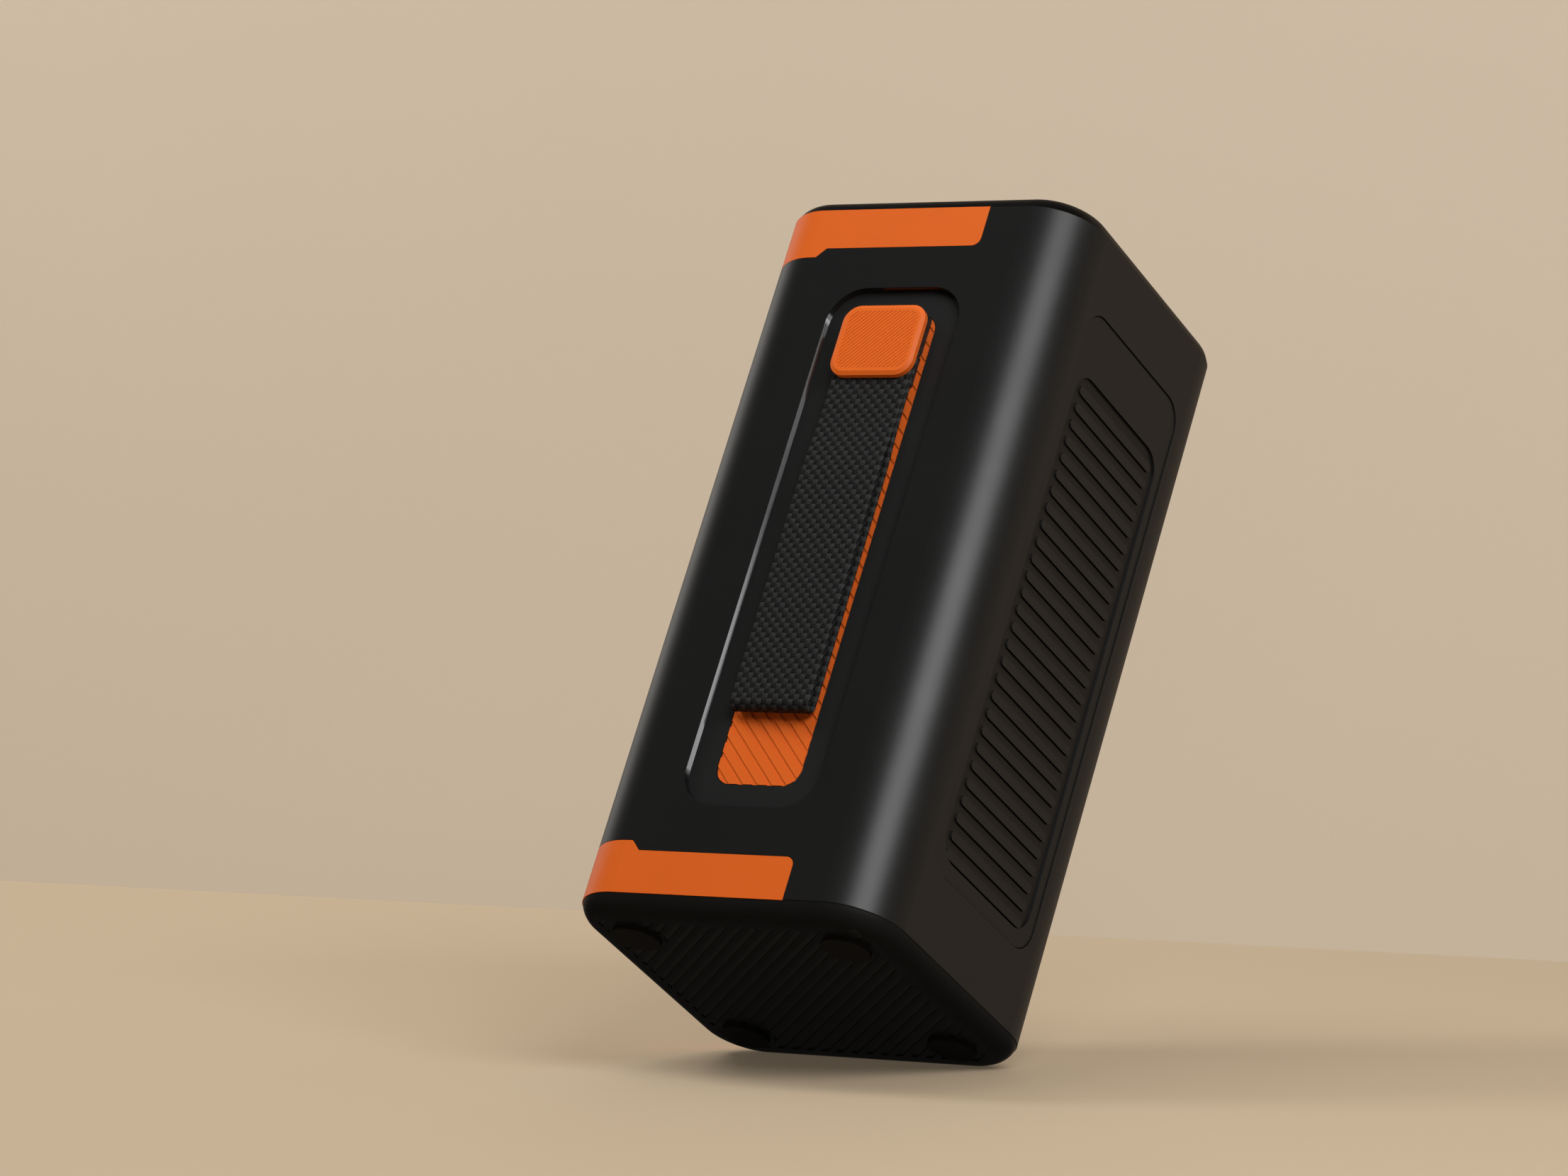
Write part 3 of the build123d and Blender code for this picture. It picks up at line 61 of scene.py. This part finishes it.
FLOOR_COLOUR = (0.345, 0.272, 0.188)
WALL_COLOUR = (0.42, 0.355, 0.275)
STAGE_DRIFT = 0.015                          # share by which the stage's colours wander
STANDING_EDGE = 8 * MM                       # radius of the bottom edge that the tower stands on
WALL_BEHIND = 0.468                          # from that edge to the wall
STAGE_REACH = 6.0                            # how far the floor and the wall run

ROOM_DARK = (0.025, 0.024, 0.023)
ROOM_BROWN = (0.30, 0.23, 0.165)
BACKDROP = (0.52, 0.46, 0.38)
WARM = (1, 0.98, 0.95)
WARMER = (1, 0.97, 0.93)


def camera():
    """Long lens from the lower right, with the tower leaning in the frame."""
    data = bpy.data.cameras.new("camera")
    data.lens = LENS
    data.sensor_width = SENSOR
    data.clip_start = CLIP_FROM
    data.clip_end = CLIP_TO
    cam = bpy.data.objects.new("camera", data)
    bpy.context.scene.collection.objects.link(cam)
    forward = EYE_FORWARD.normalized()
    right = (EYE_RIGHT - EYE_RIGHT.dot(forward) * forward).normalized()
    up = right.cross(forward)
    turn = Matrix((right, up, -forward)).transposed().to_4x4()
    cam.matrix_world = Matrix.Translation(EYE) @ turn
    bpy.context.scene.camera = cam


def nodes_of(material):
    """The material's node tree, emptied."""
    material.use_nodes = True
    tree = material.node_tree
    tree.nodes.clear()
    return tree


def link(tree, a, out, b, into):
    tree.links.new(a.outputs[out], b.inputs[into])


def calc(tree, operation, *values):
    """A math node on sockets or numbers; gives its result's socket."""
    node = tree.nodes.new("ShaderNodeMath")
    node.operation = operation
    for place, value in enumerate(values):
        if isinstance(value, (int, float)):
            node.inputs[place].default_value = value
        else:
            tree.links.new(value, node.inputs[place])
    return node.outputs[0]


def spread_colours(colour, share):
    """The colour a share darker and a share brighter, as socket values."""
    return [(*[min(1, part * gain) for part in colour], 1) for gain in (1 - share, 1 + share)]


def one_sided(name, colour, grain, glow):
    """A matt plain surface that shows only from its front, so it never hides the object."""
    material = bpy.data.materials.new(name)
    tree = nodes_of(material)
    out = tree.nodes.new("ShaderNodeOutputMaterial")
    mix = tree.nodes.new("ShaderNodeMixShader")
    matt = tree.nodes.new("ShaderNodeBsdfPrincipled")
    clear = tree.nodes.new("ShaderNodeBsdfTransparent")
    side = tree.nodes.new("ShaderNodeNewGeometry")
    place = tree.nodes.new("ShaderNodeTexCoord")
    noise = tree.nodes.new("ShaderNodeTexNoise")
    tint = tree.nodes.new("ShaderNodeMixRGB")
    noise.inputs["Scale"].default_value = grain
    noise.inputs["Detail"].default_value = 6.0
    dark, bright = spread_colours(colour, STAGE_DRIFT)
    tint.inputs[1].default_value = dark
    tint.inputs[2].default_value = bright
    matt.inputs["Roughness"].default_value = 0.85
    matt.inputs["Specular IOR Level"].default_value = 0.25
    matt.inputs["Emission Strength"].default_value = glow
    link(tree, place, "Object", noise, "Vector")
    link(tree, noise, "Fac", tint, 0)
    link(tree, tint, 0, matt, "Base Color")
    link(tree, tint, 0, matt, "Emission Color")
    link(tree, side, "Backfacing", mix, 0)
    link(tree, matt, 0, mix, 1)
    link(tree, clear, 0, mix, 2)
    link(tree, mix, 0, out, 0)
    return material


def slab(name, corner, along, up, material):
    """A flat rectangle for the stage, with its front towards along x up."""
    mesh = bpy.data.meshes.new(name)
    points = [corner, corner + along, corner + along + up, corner + up]
    mesh.from_pydata(points, [], [(0, 1, 2, 3)])
    mesh.materials.append(material)
    piece = bpy.data.objects.new(name, mesh)
    bpy.context.scene.collection.objects.link(piece)
    piece.visible_shadow = False
    piece.visible_glossy = False


def stage():
    """A pale floor under the tower's rear edge and a pale wall behind it."""
    low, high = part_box("bottom_cap")
    edge_middle = Vector((0, high.y - STANDING_EDGE, low.z + STANDING_EDGE))
    foot = edge_middle - UP * STANDING_EDGE + AWAY * WALL_BEHIND
    left_end = foot - ACROSS * STAGE_REACH
    width = ACROSS * 2 * STAGE_REACH
    slab("floor", left_end - AWAY * STAGE_REACH, width, AWAY * STAGE_REACH,
         one_sided("stage_floor", FLOOR_COLOUR, grain=6.0, glow=0.25))
    slab("wall", left_end, width, UP * STAGE_REACH,
         one_sided("stage_wall", WALL_COLOUR, grain=4.0, glow=0.50))


def softbox(name, way, distance, size, power, colour=(1, 1, 1), length=None, mirrored=True,
            aim=MIDDLE):
    """A soft rectangular light that stands that way from aim and looks at it."""
    data = bpy.data.lights.new(name, "AREA")
    data.shape = "RECTANGLE"
    data.size = size
    data.size_y = length or size
    data.energy = power
    data.color = colour
    lamp = bpy.data.objects.new(name, data)
    lamp.location = aim + Vector(way).normalized() * distance
    lamp.rotation_mode = "QUATERNION"
    lamp.rotation_quaternion = (aim - lamp.location).to_track_quat("-Z", "Y")
    lamp.visible_glossy = mirrored
    bpy.context.scene.collection.objects.link(lamp)
    return lamp


def shade_from(lamp, *nodes):
    """Keeps one light off these nodes, as a flag on a stand does in a studio."""
    flagged = bpy.data.collections.new("flag_" + lamp.name)
    for name in nodes:
        flagged.objects.link(NODES[name])
    lamp.light_linking.receiver_collection = flagged
    for entry in flagged.collection_objects:
        entry.light_linking.link_state = "EXCLUDE"


def room():
    """A dim room, brown above and behind the tower, and paler where the camera sees it."""
    world = bpy.data.worlds.new("studio")
    bpy.context.scene.world = world
    world.use_nodes = True
    tree = world.node_tree
    way = tree.nodes.new("ShaderNodeTexCoord")
    split = tree.nodes.new("ShaderNodeSeparateXYZ")
    walls = tree.nodes.new("ShaderNodeMixRGB")
    seen = tree.nodes.new("ShaderNodeLightPath")
    backdrop = tree.nodes.new("ShaderNodeMixRGB")
    link(tree, way, "Generated", split, 0)

    def climb(axis, rise):
        """0 on the near side of the axis, and softly up to 1 on its far side."""
        slope = calc(tree, "MULTIPLY", split.outputs[axis], rise)
        return calc(tree, "MAXIMUM", calc(tree, "SMOOTH_MIN", slope, 1.0, 0.2), 0.0)

    tree.links.new(calc(tree, "MULTIPLY", climb(1, 2.0), climb(2, 4.0)), walls.inputs[0])
    walls.inputs[1].default_value = (*ROOM_DARK, 1)
    walls.inputs[2].default_value = (*ROOM_BROWN, 1)
    backdrop.inputs[2].default_value = (*BACKDROP, 1)
    link(tree, seen, "Is Camera Ray", backdrop, 0)
    link(tree, walls, 0, backdrop, 1)
    link(tree, backdrop, 0, tree.nodes["Background"], "Color")


def lights():
    """The key makes the streak on the front right corner, and the glint the one in the recess."""
    key = softbox("key", (0.62, -0.675, 0.30), distance=1.5, size=0.9, length=0.7, power=18.5)
    shade_from(key, "top_cap")
    softbox("top", UP - 0.3 * ACROSS - 0.2 * AWAY, distance=2.0, size=1.2, power=13, colour=WARM,
            mirrored=False)
    softbox("left", (-0.8, -0.5, 0.6), distance=1.8, size=0.5, power=15, mirrored=False)
    softbox("behind", (-0.6, 1.0, 0.7), distance=1.8, size=0.9, power=26, colour=WARMER,
            mirrored=False)
    softbox("rim", (-0.91, 0.12, 0.40), distance=1.8, size=0.9, power=3.2, colour=WARM)
    low_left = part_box("recess_bezel")[0] + Vector((1, 1, 15)) * MM
    softbox("glint", (0.831, -0.384, 0.398), distance=1.2, size=0.16, length=0.14, power=0.48,
            aim=low_left)


# --- Materials ----------------------------------------------------------------------------------

BUMP_DEPTH = 0.1 * MM
ROUGHNESS_DRIFT = 0.05
COAT_ROUGHNESS = 0.08

# The floor between the vent cover's bars, which lies 0.7 mm below the cover's rim. Its colour is painted darker
# there: painted shade in the recess.
PAINTED_SHADE_BETWEEN_BARS = ((None, None, None), (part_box("vent_cover")[1].x - 0.6 * MM, None, None))

# The floors of the grooves in the underside, which are 0.4 mm deep. Their colour is painted twice as bright there:
# painted light on the grooved underside.
FIELD_X, FIELD_Y = 51.8 * MM, 49.1 * MM      # half the grooved field's width and depth
DEEPER_THAN, LESS_DEEP_THAN = 0.2 * MM, 0.5 * MM
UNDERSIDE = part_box("bottom_cap")[0].z
PAINTED_LIGHT_GROOVE_FLOORS = ((-FIELD_X, -FIELD_Y, UNDERSIDE + DEEPER_THAN),
                 (FIELD_X, FIELD_Y, UNDERSIDE + LESS_DEEP_THAN))


def between(tree, low, high):
    """1 inside the box low to high in object coordinates, else 0. None leaves a side open."""
    place = tree.nodes.new("ShaderNodeTexCoord")
    split = tree.nodes.new("ShaderNodeSeparateXYZ")
    link(tree, place, "Object", split, 0)
    inside = None
    for axis in range(3):
        for side, operation in ((low[axis], "GREATER_THAN"), (high[axis], "LESS_THAN")):
            if side is not None:
                step = calc(tree, operation, split.outputs[axis], side)
                inside = step if inside is None else calc(tree, "MULTIPLY", inside, step)
    return inside


def plastic(name, colour, roughness, grain=2400, bump=0.12, spread=0.08, mottle=30.0, coat=0.0,
            metallic=0.0, painted_shading_zone=None, gain=1.0, flare=None, specular=0.4):
    """Moulded or coated surface: fine grain in the bump, slow drift in colour and roughness.

    painted_shading_zone = (low, high) is a box where the colour is gain times as bright, as painted shade or
    painted light. flare leans the shading normal that way, as a rolled edge does.
    """
    material = bpy.data.materials.new(name)
    tree = nodes_of(material)
    out = tree.nodes.new("ShaderNodeOutputMaterial")
    skin = tree.nodes.new("ShaderNodeBsdfPrincipled")
    place = tree.nodes.new("ShaderNodeTexCoord")
    fine = tree.nodes.new("ShaderNodeTexNoise")
    slow = tree.nodes.new("ShaderNodeTexNoise")
    tint = tree.nodes.new("ShaderNodeMixRGB")
    rough = tree.nodes.new("ShaderNodeMapRange")
    relief = tree.nodes.new("ShaderNodeBump")
    fine.inputs["Scale"].default_value = grain
    fine.inputs["Detail"].default_value = 3.0
    slow.inputs["Scale"].default_value = mottle
    slow.inputs["Detail"].default_value = 8.0
    slow.inputs["Roughness"].default_value = 0.65
    dark, bright = spread_colours(colour, spread)
    tint.inputs[1].default_value = dark
    tint.inputs[2].default_value = bright
    rough.inputs["To Min"].default_value = roughness - ROUGHNESS_DRIFT
    rough.inputs["To Max"].default_value = roughness + ROUGHNESS_DRIFT
    relief.inputs["Strength"].default_value = bump
    relief.inputs["Distance"].default_value = BUMP_DEPTH
    skin.inputs["Metallic"].default_value = metallic
    skin.inputs["Specular IOR Level"].default_value = specular
    skin.inputs["Coat Weight"].default_value = coat
    skin.inputs["Coat Roughness"].default_value = COAT_ROUGHNESS
    link(tree, place, "Object", fine, "Vector")
    link(tree, place, "Object", slow, "Vector")
    link(tree, slow, "Fac", tint, 0)
    # Painted shade or painted light: inside the box the colour is multiplied by gain.
    if painted_shading_zone:
        painted_shading_patch = tree.nodes.new("ShaderNodeMixRGB")
        painted_shading_patch.blend_type = "MULTIPLY"
        painted_shading_patch.inputs[2].default_value = (gain, gain, gain, 1)
        tree.links.new(between(tree, *painted_shading_zone), painted_shading_patch.inputs[0])
        link(tree, tint, 0, painted_shading_patch, 1)
        link(tree, painted_shading_patch, 0, skin, "Base Color")
    else:
        link(tree, tint, 0, skin, "Base Color")
    link(tree, slow, "Fac", rough, "Value")
    link(tree, rough, 0, skin, "Roughness")
    link(tree, fine, "Fac", relief, "Height")
    if flare:
        facing = tree.nodes.new("ShaderNodeNewGeometry")
        lean = tree.nodes.new("ShaderNodeVectorMath")
        unit = tree.nodes.new("ShaderNodeVectorMath")
        lean.operation = "ADD"
        lean.inputs[1].default_value = flare
        unit.operation = "NORMALIZE"
        link(tree, facing, "Normal", lean, 0)
        link(tree, lean, 0, unit, 0)
        link(tree, unit, 0, relief, "Normal")
    link(tree, relief, 0, skin, "Normal")
    link(tree, skin, 0, out, 0)
    return material


def grey(level):
    return (level, level, level)


BLACK = grey(0.0088)
ORANGE = (0.62, 0.108, 0.010)

# Each finish of plastic(), by its material slot.
FINISHES = {
    "case_black": dict(colour=BLACK, roughness=0.42, grain=2600, bump=0.22),
    # painted light: the groove floors of the underside are painted brighter than the ridges
    "cap_black": dict(colour=BLACK, roughness=0.40, grain=2600, bump=0.22,
                      painted_shading_zone=PAINTED_LIGHT_GROOVE_FLOORS, gain=2.0),
    # painted shade: the floor between the bars is painted darker than the bars
    "vent_black": dict(colour=BLACK, roughness=0.45, grain=2600, bump=0.22,
                       painted_shading_zone=PAINTED_SHADE_BETWEEN_BARS, gain=0.35),
    "floor_black": dict(colour=grey(0.0115), roughness=0.5, grain=2600, bump=0.15),
    "trim_orange": dict(colour=ORANGE, roughness=0.5, grain=2600, bump=0.10, spread=0.03),
    "plate_orange": dict(colour=ORANGE, roughness=0.55, grain=2600, bump=0.10, spread=0.03),
    "anchor_orange": dict(colour=(0.65, 0.115, 0.010), roughness=0.5, grain=2600, bump=0.10,
                          spread=0.03),
    "bezel_black": dict(colour=grey(0.006), roughness=0.13, grain=900, bump=0.0, spread=0.05,
                        flare=(0, -0.82, 0), specular=0.5),
    "rubber_black": dict(colour=(0.011, 0.0105, 0.010), roughness=0.8, grain=1400, bump=0.35,
                         spread=0.15, specular=0.3),
    "panel_black": dict(colour=grey(0.014), roughness=0.5, grain=2200, bump=0.18),
    "button_black": dict(colour=grey(0.03), roughness=0.6, grain=2200, bump=0.15),
    "screen_glass": dict(colour=(0.006, 0.007, 0.009), roughness=0.07, grain=60, bump=0.01,
                         spread=0.05, coat=1.0),
    "lamp_diffuser": dict(colour=(0.78, 0.76, 0.70), roughness=0.35, grain=1800, bump=0.1,
                          spread=0.02),
    "holder_black": dict(colour=grey(0.02), roughness=0.55, grain=1600, bump=0.2),
    "seal_grey": dict(colour=grey(0.06), roughness=0.75, grain=1200, bump=0.3),
    "module_grey": dict(colour=(0.12, 0.125, 0.13), roughness=0.5, grain=1500, bump=0.15),
    "insulator_white": dict(colour=(0.62, 0.61, 0.57), roughness=0.5, grain=1500, bump=0.1,
                            spread=0.03),
    "board_green": dict(colour=(0.012, 0.09, 0.035), roughness=0.4, grain=500, bump=0.2,
                        spread=0.15, mottle=120.0),
    "cell_can": dict(colour=(0.02, 0.10, 0.22), roughness=0.3, grain=800, bump=0.05, spread=0.05),
    "steel": dict(colour=(0.55, 0.55, 0.56), roughness=0.32, grain=900, bump=0.1, spread=0.05,
                  metallic=1.0),
    "nickel": dict(colour=(0.62, 0.60, 0.55), roughness=0.28, grain=900, bump=0.1, spread=0.05,
                   metallic=1.0),
    "brass": dict(colour=(0.76, 0.56, 0.25), roughness=0.28, grain=900, bump=0.1, spread=0.06,
                  metallic=1.0),
    "frame_alloy": dict(colour=(0.58, 0.58, 0.60), roughness=0.45, grain=1800, bump=0.2,
                        spread=0.04, metallic=1.0),
    "ferrite": dict(colour=(0.05, 0.05, 0.055), roughness=0.6, grain=1200, bump=0.3),
    "copper_winding": dict(colour=(0.6, 0.25, 0.1), roughness=0.35, grain=1500, bump=0.3,
                           spread=0.1, metallic=1.0),
}


def paint():
    """Gives every CAD node the procedural material of its slot, and returns them by slot."""
    made = {"webbing": webbing("webbing")}
    for part in frame["record"]["subparts"]:
        slot = part["material_slot"]
        if slot not in made:
            made[slot] = plastic(slot, **FINISHES[slot])
        mesh = NODES[part["node"]].data
        mesh.materials.clear()
        mesh.materials.append(made[slot])
    return made


# --- Strap --------------------------------------------------------------------------------------

TAIL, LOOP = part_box("strap_tail"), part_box("strap_loop")
HINGE = Vector(JOINTS["strap_swing"]["pos_m"])
STRAP_W = LOOP[1].x - LOOP[0].x
STRAP_T = 1.7 * MM
LOOP_R = (LOOP[1].y - LOOP[0].y) / 2
FOLD_Z = LOOP[0].z + LOOP_R
SPREAD_FROM, SPREAD_TO = 8 * MM, 34 * MM     # under the hinge, where the two layers part
LAYER_STEPS, FOLD_STEPS = 500, 40            # points along each layer and round the fold

BLOCKS = 15                                  # woven bundles across the strap
BLOCK_W = STRAP_W / BLOCKS
BLOCK_L = 1.9 * MM
BLOCK_CUTS = (0.0, 0.14, 0.5, 0.86)          # where the mesh cuts each bundle
SELVAGE = (0.08 * MM, 0.55 * MM)             # extra cuts that round off the strap's sides
VALLEY = 0.3 * MM                            # depth of the gaps between bundles
GAP_SHARE = 0.17                             # share of a bundle that slopes into the gap beside it
BUNDLE_END = 0.3                             # height of a bundle's ends, its middle being 1

THREADS_DOWN, THREADS_OVER = 5, 4            # in a bundle along the strap, and in one across it
TWIST, WOBBLE = 0.12, 0.25                   # slant and waver of the threads, in bundles
CROSS_PAINTED_SHEEN = 0.22                           # painted sheen: brightness of bundles across, those along being 1
# The black thread colour with painted shade in the crevices, and with a painted sheen on the crests
THREAD_PAINTED_SHADE, THREAD_PAINTED_SHEEN = grey(0.0035), grey(0.044)


def smooth(t):
    t = min(max(t, 0.0), 1.0)
    return t * t * (3 - 2 * t)


def strap_line():
    """Middle of the webbing as (y, z): down the outer layer, round the fold, up the inner one."""
    near, full = STRAP_T / 2, LOOP_R - STRAP_T / 2

    def apart(z):
        return near + (full - near) * smooth((HINGE.z - z - SPREAD_FROM) / (SPREAD_TO - SPREAD_FROM))

    top = TAIL[1].z
    heights = [top + (FOLD_Z - top) * k / LAYER_STEPS for k in range(LAYER_STEPS + 1)]
    outer = [(HINGE.y - apart(z), z) for z in heights]
    turn = [math.pi * k / FOLD_STEPS for k in range(1, FOLD_STEPS)]
    fold = [(HINGE.y - full * math.cos(a), FOLD_Z - full * math.sin(a)) for a in turn]
    inner = [(HINGE.y + apart(z), z) for z in reversed(heights)]
    return outer + fold + inner


def weave(across, along):
    """Height of the basket weave from 0, between bundles, to 1, on top of one."""
    i, j = math.floor(across + 1e-6), math.floor(along + 1e-6)
    a, b = max(across - i, 0.0), max(along - j, 0.0)
    if (i + j) % 2:
        a, b = b, a
    crown = max(math.sin(math.pi * b), 0.0) ** 0.6
    return smooth(min(a, 1 - a) / GAP_SHARE) * (BUNDLE_END + (1 - BUNDLE_END) * crown)


def cuts(bundles, pitch, total):
    """Distances at which the mesh is cut, over that many bundles, and at the far end."""
    return [(k + share) * pitch for k in range(bundles) for share in BLOCK_CUTS] + [total]


def strap_ring(columns, stop, middle, outward):
    """Points round the webbing at one distance along it, and their UVs in millimetres."""
    points, uvs = [], []
    sides = [(x, 1) for x in columns[:-1]] + [(x, -1) for x in reversed(columns[1:])]
    for x, side in sides:
        depth = min(x, STRAP_W - x, STRAP_T / 2) / (STRAP_T / 2)
        round_edge = math.sqrt(max(1 - (1 - depth) ** 2, 0.0))
        dip = VALLEY * (1 - weave(x / BLOCK_W, stop / BLOCK_L))
        off = side * (STRAP_T / 2 - dip) * round_edge
        points.append((x - STRAP_W / 2, middle[0] + outward[0] * off, middle[1] + outward[1] * off))
        uvs.append((x / MM, stop / MM))
    return points, uvs


def strap_faces(rings, ring):
    """Quads between rings of that many points, and a cap at each end."""
    faces = []
    for j in range(rings - 1):
        for k in range(ring):
            a, b = j * ring + k, j * ring + (k + 1) % ring
            faces.append((a, a + ring, b + ring, b))
    last = (rings - 1) * ring
    return faces + [tuple(range(ring)), tuple(reversed(range(last, last + ring)))]


def strap_mesh():
    """The folded webbing as one closed mesh, with its bundles woven in the surface."""
    line = strap_line()
    lengths = [0.0]
    for (y0, z0), (y1, z1) in zip(line, line[1:]):
        lengths.append(lengths[-1] + math.hypot(y1 - y0, z1 - z0))
    total = lengths[-1]
    stops = cuts(int(total / BLOCK_L), BLOCK_L, total)
    edges = [x for inset in SELVAGE for x in (inset, STRAP_W - inset)]
    columns = sorted(cuts(BLOCKS, BLOCK_W, STRAP_W) + edges)
    points, uvs, at = [], [], 0
    for stop in stops:
        while at < len(lengths) - 2 and lengths[at + 1] < stop:
            at += 1
        (y0, z0), (y1, z1) = line[at], line[at + 1]
        run = math.hypot(y1 - y0, z1 - z0)
        share = (stop - lengths[at]) / run
        middle = (y0 + (y1 - y0) * share, z0 + (z1 - z0) * share)
        outward = ((z1 - z0) / run, -(y1 - y0) / run)
        ring_points, ring_uvs = strap_ring(columns, stop, middle, outward)
        points += ring_points
        uvs += ring_uvs
    mesh = bpy.data.meshes.new("strap")
    mesh.from_pydata(points, [], strap_faces(len(stops), len(points) // len(stops)))
    layer = mesh.uv_layers.new(name="UVMap")
    layer.uv.foreach_set("vector", [n for loop in mesh.loops for n in uvs[loop.vertex_index]])
    mesh.shade_smooth()
    return mesh


def strap(material):
    """The webbing strap, which stands for both CAD pieces."""
    mesh = strap_mesh()
    mesh.materials.append(material)
    piece = bpy.data.objects.new("strap", mesh)
    bpy.context.scene.collection.objects.link(piece)
    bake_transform(piece)
    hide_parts("strap_tail", "strap_loop")


def webbing(name):
    """Black basket-weave webbing; the bundles are in the mesh, and single threads in the bump. Its colour has
    painted shade in the crevices between threads and a painted sheen on their crests, brightest on the bundles
    along the strap.
    """
    material = bpy.data.materials.new(name)
    tree = nodes_of(material)
    out = tree.nodes.new("ShaderNodeOutputMaterial")
    skin = tree.nodes.new("ShaderNodeBsdfPrincipled")
    place = tree.nodes.new("ShaderNodeTexCoord")
    split = tree.nodes.new("ShaderNodeSeparateXYZ")
    fuzz = tree.nodes.new("ShaderNodeTexNoise")
    shade = tree.nodes.new("ShaderNodeMixRGB")
    relief = tree.nodes.new("ShaderNodeBump")
    link(tree, place, "UV", split, 0)
    link(tree, place, "UV", fuzz, "Vector")
    fuzz.inputs["Scale"].default_value = 2.2
    fuzz.inputs["Detail"].default_value = 4.0
    across = calc(tree, "MULTIPLY", split.outputs[0], MM / BLOCK_W)
    along = calc(tree, "MULTIPLY", split.outputs[1], MM / BLOCK_L)
    blocks = calc(tree, "ADD", calc(tree, "FLOOR", across), calc(tree, "FLOOR", along))
    crosswise = calc(tree, "FLOORED_MODULO", blocks, 2.0)
    lengthwise = calc(tree, "SUBTRACT", 1.0, crosswise)
    waver = calc(tree, "MULTIPLY", calc(tree, "SUBTRACT", fuzz.outputs["Fac"], 0.5), WOBBLE)
    lean = calc(tree, "ADD", calc(tree, "MULTIPLY", calc(tree, "FRACT", along), TWIST), waver)

    def threads(distance, shift, count):
        """A wave with that many crests in each bundle."""
        turns = calc(tree, "MULTIPLY", calc(tree, "ADD", distance, shift), 2 * math.pi * count)
        return calc(tree, "COSINE", turns)

    down = calc(tree, "MULTIPLY", threads(across, lean, THREADS_DOWN), lengthwise)
    over = calc(tree, "MULTIPLY", threads(along, waver, THREADS_OVER), crosswise)
    crest = calc(tree, "MULTIPLY_ADD", calc(tree, "ADD", down, over), 0.5, 0.5)
    light = calc(tree, "MULTIPLY_ADD", lengthwise, 1 - CROSS_PAINTED_SHEEN, CROSS_PAINTED_SHEEN)
    # Painted shade in the crevices and painted sheen on the crests, stronger on the bundles along the strap
    tree.links.new(calc(tree, "MULTIPLY", crest, light), shade.inputs[0])
    shade.inputs[1].default_value = (*THREAD_PAINTED_SHADE, 1)
    shade.inputs[2].default_value = (*THREAD_PAINTED_SHEEN, 1)
    relief.inputs["Strength"].default_value = 0.8
    relief.inputs["Distance"].default_value = BUMP_DEPTH
    tree.links.new(crest, relief.inputs["Height"])
    skin.inputs["Roughness"].default_value = 0.6
    skin.inputs["Specular IOR Level"].default_value = 0.2
    link(tree, shade, 0, skin, "Base Color")
    link(tree, relief, 0, skin, "Normal")
    link(tree, skin, 0, out, 0)
    return material


camera()
stage()
room()
lights()
materials = paint()
strap(materials["webbing"])
